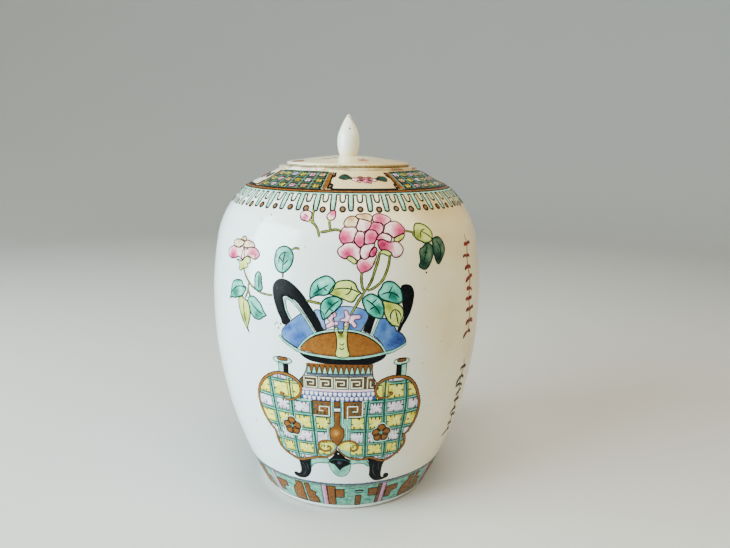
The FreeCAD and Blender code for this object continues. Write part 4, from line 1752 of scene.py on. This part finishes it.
SPRAY_PETALS = (
    (
        "tan",
        [
            (-107, 236.4), (-105.3, 238.4), (-100.9, 239.5), (-97, 239.5), (-93.1, 238.7),
            (-93.7, 235.9), (-96.4, 233.7), (-99.8, 233.1), (-105.3, 233.7),
        ],
        (-100, 239), 0.7, 6
    ),
    (
        "tan",
        [
            (-92.6, 237.6), (-89.8, 239.8), (-85.3, 239.5), (-80.9, 238.1), (-79.5, 235.6),
            (-83.1, 235.1), (-86.4, 234.2), (-89.8, 232.6), (-92, 234.8),
        ],
        (-86, 239), 0.7, 6
    ),
    (
        "tan", [(-97.4, 240), (-95, 242.2), (-92, 242.4), (-90.6, 240), (-93.4, 239)], (-94, 241),
        0.3, 3
    ),
    (
        "pink",
        [
            (-113.9, 230.3), (-110.9, 232), (-106.4, 233.7), (-99.8, 233.1), (-94.2, 234.8),
            (-92, 233), (-92.6, 224.4), (-97.6, 226.4), (-101.4, 225.1), (-106.4, 223.9),
            (-110.9, 224.2), (-113.7, 225.9),
        ],
        (-106, 225.5), 0.18, 10
    ),
    (
        "pink",
        [
            (-92, 233.2), (-86.4, 234.4), (-79.8, 235.3), (-75.3, 233.1), (-73.4, 230.3),
            (-74.8, 228.1), (-78.1, 226.4), (-83.1, 227.6), (-86.4, 228.1), (-89.8, 226.4),
            (-92.4, 224.6),
        ],
        (-80, 229.5), 0.2, 10
    ),
)
SPRAY_CALYX = [
    (-99.8, 223.7), (-97, 222.6), (-95.3, 220.3), (-95.9, 217.6), (-93.7, 215.9), (-90.9, 217.6),
    (-86.4, 219.2), (-84.8, 220.9), (-86.4, 222), (-83.1, 223.1), (-82.6, 225.3), (-86.4, 227.6),
    (-89.8, 225.9), (-92, 223.7), (-95.3, 223.4),
]
SPRAY_STEMS = (
    [
        (-90, 218), (-87.6, 213.7), (-84.2, 209.8), (-79.8, 206.2), (-74.8, 203.9), (-69.2, 202),
        (-63.7, 201.4), (-58.6, 201.5),
    ],
    [(-83.1, 207.6), (-83.6, 202), (-86.4, 195.6)],
    [(-83.4, 203), (-80.6, 197)],
)
TWIGS = (
    [(48, 251.4), (51.5, 250.6), (56, 249.6)], [(54, 249.8), (54.7, 246.6)],
    [(-44, 236.6), (-41, 238), (-37.6, 237.4)], [(-50.3, 220), (-50.2, 215.4)],
)
CORAL_LEFT = [
    (-9.4, 193), (-8, 189.5), (-10.5, 188), (-10.8, 186), (-7, 185.6), (-6.3, 183.2), (-9, 182.5),
    (-12, 181.3), (-15.5, 180.4), (-15.6, 183), (-12.8, 185.3), (-14.5, 187.3), (-12.6, 189.8),
    (-11.4, 192.2),
]
CORAL_RIGHT = [
    (-1.8, 194.3), (-0.4, 194.2), (1.6, 190.6), (5.6, 190.8), (10, 189.8), (10, 188.2),
    (5.2, 186.8), (7, 182), (5.6, 180.9), (1.6, 184.4), (-1, 181.6), (-2.4, 182.6), (-1.8, 185.6),
    (-5, 185.8), (-5, 187.4), (-1.6, 188.8), (-2.2, 191.6),
]


def bouquet(move=None, name="bouquet"):
    """The peonies and leaves that stand in the vase."""
    paint = Paints(name, move)
    for points in STEMS:
        stem(paint, points)
    for colour, outline, veins, deep in LEAVES_AT_MOUTH:
        leaf(paint, colour, outline, veins, deep)
    for outline, base in BUDS:
        petal(paint, outline, base, 0.3, 5.0)
        paint.stroke(
            "maroon",
            [
                (outline[0][0] + 2, outline[0][1] + 3), (base[0] + 1, base[1] + 2.4),
                (base[0] + 3, base[1] + 0.4)
            ],
            0.5, 4, 0.5
        )
    for cup in ((-17, 260), (-13.4, 259.4)), ((-33, 260), (-31, 257.6)):
        paint["yellowgreen"].line(cup, 2.0, 3, 0.5)
    for colour, outline, base, near, reach in PEONY:
        petal(paint, outline, base, near, reach, colour)
    for calyx in CALYXES:
        paint.shape("yellowgreen", calyx, fade(1.5, 0.3, 0.9), 3, "deepgreen", 0.55, 5, 1.5)
    paint.shape(
        "tan", [(18.3, 228), (19.5, 230), (21, 231), (20.8, 227.8), (19.3, 226.3)], flat(0.3), 3
    )
    for coral in (CORAL_LEFT, CORAL_RIGHT):
        paint.shape("mauve", coral, fade(1.2, 0.3, 0.85), 2, "maroon", 0.4, 4, 1.5)
    paint.stroke("maroon", [(2.4, 190.4), (1.4, 187), (-0.6, 184)], 0.5, 4, 0.4)
    paint.build()


def sprays(move=None, name="sprays"):
    """The side branches: the small peony on the left, the leaves hanging on the right."""
    paint = Paints(name, move)
    for points in SPRAY_STEMS + TWIGS:
        stem(paint, points, 1.1)
    for colour, outline, base, near, reach in SPRAY_PETALS:
        petal(paint, outline, base, near, reach, colour)
    paint.shape(
        "tan", [(-85.3, 228.7), (-82, 229.6), (-78.7, 229), (-78.1, 226.9), (-82, 227.3)],
        flat(0.7), 3
    )
    paint.shape(
        "yellowgreen", SPRAY_CALYX, glow((-91, 217), 7, 0.3, 0.9), 3, "deepgreen", 0.55, 5, 1.6
    )
    for colour, outline, veins, deep in LEAVES_LEFT + LEAVES_RIGHT:
        leaf(paint, colour, outline, veins, deep)
    paint["ink"].dot((63.6, 218.9), 0.9, 1, 0.1)
    paint.build()


def side_twig():
    """Hanging twigs with clustered leaves on the right-hand side, russet above and dark below."""
    paint = Paints("side_twig")
    for colour, top, foot, lean in (("russet", 243.0, 162.0, 2.0), ("ink", 138.0, 66.0, 6.0)):
        count = 9
        line = [
            (
                118.0 + lean * t / count + 1.6 * math.sin(t * 1.9),
                top - (top - foot) * t / count,
            )
            for t in range(count + 1)
        ]
        paint.stroke(colour, line, 0.9, 2, 0.35)
        for u, s in line[1:]:
            for side in (-1, 1):
                size = RNG.uniform(5.0, 8.5)
                tip = (u + side * size, s - size * RNG.uniform(-0.2, 0.8))
                middle = ((u + tip[0]) / 2, (s + tip[1]) / 2 + 1.4)
                paint[colour].line(
                    [(u, s), middle, tip], RNG.uniform(2.4, 4.0), 2, RNG.uniform(0.1, 0.5), 0.15
                )
    paint.build()


# ---------------------------------------------------------------- borders


def hoop(paint, s0, s1, level, tone, wobble=0.12, count=360):
    """A painted band all the way round, from one height to another, with uneven edges."""
    rows = max(1, int((s1 - s0) / 2.2))
    rim = min(0.3, (s1 - s0) / 4)
    edges = [s0, s0 + rim] + [
        s0 + rim + (s1 - s0 - 2 * rim) * k / rows
        for k in range(1, rows)
    ] + [s1 - rim, s1]
    lifts = [SUNK] + [LIFTS[level]] * (len(edges) - 2) + [SUNK]
    u = np.arange(count) * 2 * math.pi * BELLY / count
    low = np.array([RNG.uniform(-wobble, wobble) for _ in range(count)])
    high = np.array([RNG.uniform(-wobble, wobble) for _ in range(count)])
    share = [(s - s0) / (s1 - s0) for s in edges]
    points = np.vstack(
        [np.stack([u, s + low * (1 - t) + high * t], -1) for s, t in zip(edges, share)]
    )
    faces = []
    total = len(edges)
    for k in range(count):
        n = (k + 1) % count
        for row in range(total):
            above = (row + 1) % total
            faces.append((row * count + k, row * count + n, above * count + n, above * count + k))
    tones = np.clip(tone + np.array([RNG.uniform(-0.12, 0.12) for _ in range(len(points))]), 0, 1)
    paint.add(points, np.repeat(lifts, count), faces, tones)


TONGUES = 46  # long tongues in the border, all the way round
TONGUE_TOP = 282.6


def comb_border():
    """One dark line that hangs down in long and short tongues, with brown beads below the short
    ones, under a mint, an orange and two dark bands."""
    paint = Paints("comb_border")
    around = 2 * math.pi * BELLY
    pitch = around / TONGUES
    hoop(paint["mint"], 282.9, 284.8, 0, 0.62)
    hoop(paint["ink"], 284.0, 285.8, 2, 0.3)
    hoop(paint["orange"], 285.5, 287.6, 1, 0.4)
    hoop(paint["ink"], 287.3, 289.3, 2, 0.3)
    for k in range(TONGUES):
        c = 3.0 + k * pitch + RNG.uniform(-0.7, 0.7)
        m, n = 3.0 + (k + 0.5) * pitch, 3.0 + (k + 1) * pitch
        foot = 267.6 + RNG.uniform(-0.5, 0.7)
        low = [
            (c - 1.5, foot + 2.4), (c - 1.2, foot + 0.4), (c, foot),
            (c + 1.2, foot + 0.4), (c + 1.5, foot + 2.4),
        ]
        tongue = [(c - 1.8, TONGUE_TOP + 0.2)] * 2 + low + [(c + 1.8, TONGUE_TOP + 0.2)] * 2
        paint["mint"].patch(tongue, 0, fade(1.2, 0.35, 0.8), 2.4, 1.6)
        short = [
            (m - 1.5, TONGUE_TOP), (m - 1.4, 278.0), (m, 276.4), (m + 1.4, 278.0),
            (m + 1.5, TONGUE_TOP),
        ]
        paint["mint"].line(short, 1.1, 0, 0.75, 0.8)
        line = [(c - 2.2, TONGUE_TOP)] * 2 + [(u + 0.45 * np.sign(u - c), s) for u, s in low]
        line += [(c + 2.2, TONGUE_TOP)] * 2 + [(m - 2.4, TONGUE_TOP)] * 2
        line += [(m - 2.2, 277.4), (m - 1.6, 275.9), (m, 275.4), (m + 1.6, 275.9), (m + 2.2, 277.4)]
        line += [(m + 2.4, TONGUE_TOP)] * 2 + [(n - 2.2, TONGUE_TOP)] * 2
        paint["ink"].line(line, 1.75, 2, 0.55, 0.8, step=1.4)
        if RNG.random() > 0.04:
            bead = (m + RNG.uniform(-1.0, 1.0), 269.2 + RNG.uniform(-0.7, 0.9))
            size = RNG.uniform(2.8, 3.3)
            paint["ink"].patch(oval(bead, size + 0.2, size, 0, 9), 1, flat(0.55), 1.4, 1.2)
            paint["brown"].patch(
                oval((bead[0] + RNG.uniform(-0.3, 0.3), bead[1]), size * 0.58, size * 0.55, 0, 7),
                2, flat(0.62), 1.2, 1.0
            )
    paint.build()


def degrees(angle):
    """Place across for a bearing in degrees from the middle of the front."""
    return math.radians(angle) * BELLY


def cone_band():
    """Four diaper panels and four pale panels with a garland, on the slope below the collar."""
    paint = Paints("slope_band")
    for quarter in range(4):
        turn = 90.0 * quarter
        # diaper panel
        start, end = turn + 31.5, turn + 76.0
        top, low = 314.8, 289.6
        ground = corners(
            [
                (degrees(start), low - 1), (degrees(end), low - 1), (degrees(end), top),
                (degrees(start), top)
            ]
        )
        paint.shape("brown", ground, flat(0.05), 0, step=4)
        paint["ink"].line(
            [
                (degrees(start), top + 0.3), (degrees((start + end) / 2), top + 0.5),
                (degrees(end), top + 0.3)
            ],
            1.9, 3, 0.4, 0.6, ragged=0.3, step=2
        )
        columns, rows = 6, 3
        step_u, step_s = (end - start) / columns, (top - low) / rows
        for i in range(columns + 1):
            thread = [
                (degrees(start + step_u * i), low + 0.5), (degrees(start + step_u * i), top - 0.5)
            ]
            paint["teal"].line(thread, 1.7, 1, 0.35, 0.9, step=3)
            paint["mint"].line(thread, 0.6, 2, 0.45, 0.9, step=3)
        for j in range(rows + 1):
            s = min(max(low + step_s * j, low + 0.8), top - 0.8)
            paint["teal"].line(
                [(degrees(start), s), (degrees((start + end) / 2), s + 0.2), (degrees(end), s)],
                1.2, 1, 0.45, 0.9, step=3
            )
        for i in range(columns):
            for j in range(rows):
                centre = (degrees(start + step_u * (i + 0.5)), low + step_s * (j + 0.5))
                wide = BELLY / float(np.interp(centre[1], WALL_S, WALL_R))
                flower = ("yellow", "mauve", "tan", "yellow", "lilac")[(i + 2 * j + quarter) % 5]
                ring = oval(centre, 3.1 * wide, 2.9, 0, 10)
                paint["ink"].line(ring, 1.6, 1, 0.6, closed=True, step=1.6)
                for k in range(4):
                    a = math.pi / 4 + k * math.pi / 2
                    heart = (centre[0] + 1.7 * wide * math.cos(a), centre[1] + 1.6 * math.sin(a))
                    tone = RNG.uniform(0.0, 0.35) if flower == "yellow" else RNG.uniform(0.2, 0.6)
                    paint[flower].patch(
                        oval(heart, 1.2 * wide, 1.15, 0, 7), 2, flat(tone), 1.4, 1.2
                    )
                paint["orange"].dot(centre, 0.9 * wide, 3, 0.4, 0.7)
                for a in (0.0, math.pi):
                    spot = (centre[0] + 3.3 * wide * math.cos(a), centre[1] + 0.6)
                    paint["mint"].patch(oval(spot, 0.8 * wide, 0.9, a, 6), 2, flat(0.15), 1.4, 1.2)
        # orange scroll bars at both ends of the pale panel
        for bar in (turn - 12.9, turn + 30.2):
            paint["orange"].line(
                [
                    (degrees(bar - 0.3), low), (degrees(bar + 0.4), (low + top) / 2),
                    (degrees(bar - 0.2), top)
                ],
                degrees(3.4), 1, 0.45, 0.9, ragged=0.06, step=2.5
            )
            for off in (-2.1, 2.1):
                paint["ink"].line(
                    [
                        (degrees(bar + off), low), (degrees(bar + off + 0.2), (low + top) / 2),
                        (degrees(bar + off), top)
                    ],
                    2.4, 2, 0.3, 0.9
                )
            # dark scrollwork between the bar and the pale panel
            side = 1 if bar < turn else -1
            inner, outer = turn + (-8.6 if side > 0 else 26.6), bar + 2.1 * side
            hatch = [
                (outer, low), (inner, low), (inner, 296), (inner - 1.4 * side, 298),
                (inner - 1.7 * side, 306), (inner, 308.5), (inner, top), (outer, top)
            ]
            paint["ink"].patch(corners([(degrees(a), s) for a, s in hatch]), 0, flat(0.6), 2.6, 1.6)
            for s in (293.0, 299.0, 305.0, 311.0):
                nick = [(degrees(outer + 0.3 * side), s), (degrees(outer + 1.3 * side), s + 1.6)]
                paint["tan"].line(nick, 1.0, 1, 0.4, 0.5)
            for s in (294.5, 300.5, 306.5, 311.5):
                paint["brown"].line(
                    [
                        (degrees(bar - 1.2), s - 1.2), (degrees(bar), s + 0.8),
                        (degrees(bar + 1.2), s - 0.8)
                    ],
                    1.0, 2, 0.1
                )
        # outline of the pale panel, notched at its corners
        left, right = turn - 8.6, turn + 26.6
        frame_line = [
            (right, top), (right, 308.5), (right + 1.8, 306), (right + 2.0, 298), (right, 296),
            (right, low + 0.4), (left, low + 0.4), (left, 296), (left - 1.8, 298),
            (left - 2.2, 306), (left, 308.5), (left, top)
        ]
        frame_line = corners([(degrees(a), s) for a, s in frame_line])
        paint["ink"].line(frame_line, 2.2, 3, 0.25, 0.8)
        # garland
        for a, s, half, tall, colour, tone in (
            (-2.6, 307.6, 3.9, 3.9, "shadeleaf", 0.2), (0.8, 306.4, 1.6, 2.0, "shadeleaf", 0.5),
            (4.6, 304.6, 2.6, 3.0, "pink", 0.8), (8.0, 305.6, 2.4, 3.6, "maroon", 1.0),
            (10.6, 303.6, 2.6, 4.2, "pink", 0.55), (13.4, 305.2, 2.1, 3.2, "maroon", 0.95),
            (15.8, 303.8, 2.3, 2.6, "pink", 0.75), (18.6, 304.8, 1.4, 1.8, "shadeleaf", 0.5),
            (21.8, 305.2, 3.6, 4.0, "shadeleaf", 0.2), (6.4, 301.4, 1.5, 1.8, "pink", 0.5),
            (12.6, 300.4, 1.6, 2.0, "pink", 0.45),
        ):
            blob = [
                (
                    degrees(turn + a + half * math.cos(t) * RNG.uniform(0.8, 1.1)),
                    s + tall * math.sin(t) * RNG.uniform(0.8, 1.1)
                )
                for t in [2 * math.pi * q / 9 for q in range(9)]
            ]
            paint[colour].patch(blob, 1, flat(tone), 1.8, 1.6)
            paint["ink"].line(blob, 0.8, 3, 0.4, closed=True, step=2)
        paint["shadeleaf"].line(
            [
                (degrees(turn - 5), 308), (degrees(turn + 4), 305.6), (degrees(turn + 16), 304.6),
                (degrees(turn + 24), 306)
            ],
            1.0, 1, 0.3
        )
    paint.build()


FOOT_A = (
    (box(-20.8, -11.8, 6.2, 32.4), 0.4), (box(-12.4, -1.6, 17.4, 28.4), 0.4),
    (box(11.0, 18.0, 5.8, 20.2), 0.3),
    (box(26.0, 38.2, 18.0, 28.2), 0.3), (box(36.4, 41.0, 6.2, 32.0), 0.3),
)
FOOT_B = (
    ([(-66, 7), (-49.6, 7), (-49.6, 31.5), (-59, 32), (-59, 27), (-64.5, 22.5), (-66, 14)], 0.4),
    (
        [
            (-47.6, 7), (-33.2, 7), (-33.2, 14.5), (-36.5, 18), (-34.5, 22), (-41.5, 24),
            (-41.5, 31.5), (-47.6, 31.5),
        ],
        0.35
    ),
    ([(-88, 12), (-80, 12), (-80, 19), (-73, 20), (-73, 27), (-88, 27)], 0.35),
)


def foot_band():
    """The key border round the foot: mint ground, orange key blocks and mauve posts."""
    paint = Paints("foot_band")
    hoop(paint["mint"], 5.8, 34.0, 0, 0.28)
    hoop(paint["slate"], 33.3, 36.2, 1, 0.35, 0.3)
    hoop(paint["brown"], 31.9, 33.1, 2, 0.3, 0.2)
    hoop(paint["brown"], 5.6, 6.4, 1, 0.5, 0.2)
    pitch = 2 * math.pi * BELLY / 11
    for k in range(11):
        shift = k * pitch
        plain = k % 2 == 0 and k < 10
        shapes = FOOT_A
        if not plain:
            shapes = [([(u + pitch, s) for u, s in outline], tone) for outline, tone in FOOT_B]
        for outline, tone in shapes:
            moved = corners([(u + shift + RNG.uniform(-0.4, 0.4), s) for u, s in outline])
            paint.shape(
                "orange", moved, darkest(flat(tone), fade(1.5, 0.25, 0.6)), 1, "ink", 0.7, 2, 3.0
            )
        if plain:
            paint.stroke(
                "ink", [(shift + 9.6, 25.4), (shift + 15, 26.6), (shift + 20.4, 25.2)], 1.6, 2, 0.55
            )
            paint.stroke(
                "ink", [(shift + 9.6, 23.2), (shift + 15, 23.6), (shift + 20, 23.4)], 0.8, 2, 0.6
            )
            paint.stroke(
                "teal", [(shift - 1, 30.6), (shift + 12, 30.2), (shift + 25, 30.6)], 0.9, 1, 0.4
            )
        # brush hatching left in the mint ground
        for _ in range(16):
            u, s = shift + RNG.uniform(-20, 40), RNG.uniform(8, 30)
            paint["teal"].line(
                [(u, s), (u + RNG.uniform(3, 8), s + RNG.uniform(-0.6, 0.6))],
                RNG.uniform(0.7, 1.3), 0, 0.35
            )
        post = shift - 24.5
        paint.shape(
            "mauve",
            corners([(post - 3.2, 6.2), (post + 3.2, 6.2), (post + 2.9, 33.4), (post - 3.0, 33.4)]),
            leaning((post - 3, 0), (post + 3, 0), 0.75, 0.2), 1, step=3
        )
        paint.stroke(
            "slate", [(post - 3.1, 6.2), (post - 2.8, 20), (post - 3.0, 33.4)], 1.5, 2, 0.15,
            taper=0.9
        )
        paint.stroke(
            "maroon", [(post + 3.4, 6.2), (post + 3.2, 20), (post + 3.1, 33.4)], 1.0, 2, 0.5,
            taper=0.9
        )
        paint.stroke("slate", [(post - 0.6, 7), (post - 0.2, 20), (post - 0.4, 32)], 0.8, 2, 0.8)
    paint.build()


def on_lid_edge(points, lift):
    """Places (round, height) in mm on the lid's upright edge."""
    turn = points[:, 0] / BELLY
    radius = np.interp(points[:, 1], EDGE[:, 1], EDGE[:, 0]) + lift
    return np.stack([radius * np.sin(turn), -radius * np.cos(turn), points[:, 1]], -1) * MM


def lid_painting():
    """The few small flowers on the lid, a worn place, and a dark band low on its edge: partly its
    brown edge line, partly painted shadow of the gap above the collar.
    """
    paint = Paints("lid_sprigs", body=LID, place=on_lid)
    for turn in (0, 120, 240):
        c, s = math.cos(math.radians(turn)), math.sin(math.radians(turn))

        def at(x, y):
            return (x * c - y * s, x * s + y * c)

        for k in range(5):
            a = 2 * math.pi * k / 5 + 0.3
            heart = at(12.2 + 3.4 * math.cos(a), -35.0 + 4.6 * math.sin(a))
            paint["russet"].patch(
                oval(heart, 2.3, 2.0, a, 7), 0, flat((1.0, 0.6, 1.0, 0.7, 1.0)[k]), 1.2, 0.9
            )
        paint["russet"].dot(at(12.2, -35.0), 1.6, 1, 0.3)
        paint["shadeleaf"].line(
            [at(-23.5, -28.5), at(-15.5, -25.0), at(-8.0, -19.0)], 3.4, 0, 0.25, 0.2
        )
        paint["ink"].line([at(-21.0, -27.0), at(-15.5, -24.6), at(-10.0, -20.4)], 1.2, 1, 0.5)
    worn = [(-47.5, -19), (-44, -14), (-39, -17), (-36.5, -24), (-38, -30), (-42, -29)]
    paint["brown"].patch(
        worn, 0, darkest(fade(4.0, 0.2, 0.95), glow((-41, -28), 7, 0.3, 0.95)), 2.0, 1.0
    )
    paint.build()
    # painted shadow: dark ink low round the lid's edge stands for the shaded gap above the collar,
    # and partly for its brown edge line
    edge = Paints("lid_edge_line_and_shadow", body=LID, place=on_lid_edge)
    hoop(edge["ink"], EDGE_LOW + 0.2, EDGE_LOW + 1.6, 0, 0.75, 0.1, 300)
    edge.build()


BUD = smooth_outline(section("lid_finial"), False, FINE) / MM
BUD = BUD[BUD[:, 0] > 0.5]
BUD = BUD[np.argsort(BUD[:, 1], kind="stable")]


def on_bud(points, lift):
    """Places (round, height) in mm on the lid's bud; 10 mm across is one radian."""
    radius = np.interp(points[:, 1], BUD[:, 1], BUD[:, 0]) + lift
    turn = points[:, 0] / 10
    return np.stack([radius * np.sin(turn), -radius * np.cos(turn), points[:, 1]], -1) * MM


def bud_marks():
    """Two dark specks and a fritted line where the bud's tip is chipped."""
    paint = Paints("bud_marks", body=LID, place=on_bud)
    for u, z, size in ((1.6, 318.0, 1.0), (-2.4, 323.6, 0.75), (-9.0, 303.5, 0.5)):
        paint["ink"].dot((u, z), size, 1, 0.3)
    paint["ink"].line(
        [(-4.0, 328.2), (2.0, 328.0), (7.0, 326.6), (10.0, 324.6), (11.0, 322.0)], 1.0, 1, 0.3, 0.4,
        step=0.8
    )
    paint.build()


def specks():
    """Tiny dark specks burnt into the glaze."""
    paint = Paints("kiln_specks")
    places = [
        (-44.0, 246.0), (-37.0, 262.0), (-112.0, 214.0), (-70.0, 262.0), (67.0, 236.0),
        (103.0, 226.0), (62.0, 148.0),
    ]
    around = math.pi * BELLY
    places += [(RNG.uniform(-around, around), RNG.uniform(40, 262)) for _ in range(80)]
    for place in places:
        paint["ink"].dot(
            place, RNG.uniform(0.28, 0.75), 0, RNG.uniform(0.2, 1.0), RNG.uniform(0.7, 1.2)
        )
    paint.build()


bouquet()
sprays()
side_twig()
specks()
bud_marks()
comb_border()
cone_band()
foot_band()
lid_painting()


def behind(points):
    """The same picture turned over on the back of the jar."""
    return np.stack([math.pi * BELLY - points[:, 0], points[:, 1]], -1)


vase(behind, "back_vase")
bouquet(behind, "back_bouquet")
sprays(behind, "back_sprays")


# ---------------------------------------------------------------- studio


def studio():
    """A pale floor that curves up into a round wall, so that there is no horizon from any side."""
    flat_radius, bend, wall = 1.6, 1.4, 4.0  # metres
    outline = [(0.0, 0.0), (flat_radius, 0.0)]
    for k in range(1, 13):
        a = k / 12 * math.pi / 2
        outline.append((flat_radius + bend * math.sin(a), bend * (1 - math.cos(a))))
    outline.append((flat_radius + bend, wall))
    around = 96
    verts, faces = [(0, 0, 0)], []
    for radius, height in outline[1:]:
        verts += [
            (
                radius * math.cos(2 * math.pi * k / around),
                radius * math.sin(2 * math.pi * k / around),
                height,
            )
            for k in range(around)
        ]
    for k in range(around):
        faces.append((0, 1 + k, 1 + (k + 1) % around))
    for ring in range(len(outline) - 2):
        a, b = 1 + ring * around, 1 + (ring + 1) * around
        for k in range(around):
            n = (k + 1) % around
            faces.append((a + k, b + k, b + n, a + n))
    floor = new_mesh("studio_floor", verts, faces)
    paper = {"Base Color": (*srgb(199, 198, 195), 1), "Roughness": 0.9}
    floor.data.materials.append(Shader("studio_paper").done(paper))


def area_light(name, location, target, size, power, colour):
    """A soft box that the camera doesn't see: place and target in metres, power in watts."""
    data = bpy.data.lights.new(name, "AREA")
    data.shape, data.size, data.size_y = "RECTANGLE", size[0], size[1]
    data.energy, data.color = power, colour
    lamp = bpy.data.objects.new(name, data)
    lamp.location = location
    lamp.rotation_euler = (Vector(target) - Vector(location)).to_track_quat("-Z", "Y").to_euler()
    lamp.visible_camera = False
    bpy.context.collection.objects.link(lamp)


def view():
    """The camera, at the place, tilt and lens of the jar's photograph."""
    place = Vector((0.0, -0.5622, 0.3082))  # metres
    pitch, pan, roll = (math.radians(angle) for angle in (11.95, 1.62, 0.76))
    forward = Vector(
        (math.sin(pan) * math.cos(pitch), math.cos(pan) * math.cos(pitch), -math.sin(pitch))
    )
    right = Vector((math.cos(pan), -math.sin(pan), 0))
    up = right.cross(forward)
    right, up = (
        right * math.cos(roll) + up * math.sin(roll),
        up * math.cos(roll) - right * math.sin(roll),
    )
    data = bpy.data.cameras.new("camera")
    data.sensor_width, data.lens = 36.0, 31.11
    data.clip_start = 0.01
    camera = bpy.data.objects.new("camera", data)
    turned_to = Matrix((right, up, -forward)).transposed().to_4x4()
    camera.matrix_world = Matrix.Translation(place) @ turned_to
    bpy.context.collection.objects.link(camera)
    bpy.context.scene.camera = camera


studio()
view()
world = bpy.data.worlds.new("studio_air")
world.use_nodes = True
world.node_tree.nodes["Background"].inputs[0].default_value = (1.0, 0.95, 0.84, 1)
world.node_tree.nodes["Background"].inputs[1].default_value = 0.27
bpy.context.scene.world = world
area_light("window", (-1.35, -0.62, 0.55), (0, 0, 0.16), (1.1, 1.3), 92.0, (0.78, 0.96, 1.0))
area_light("top", (0.10, -0.35, 1.5), (0, 0, 0.25), (1.0, 1.0), 24.0, (1.0, 0.94, 0.78))
area_light("warm_side", (0.75, -0.45, 1.00), (0.05, 0, 0.27), (0.45, 0.45), 4.0, (1.0, 0.80, 0.46))
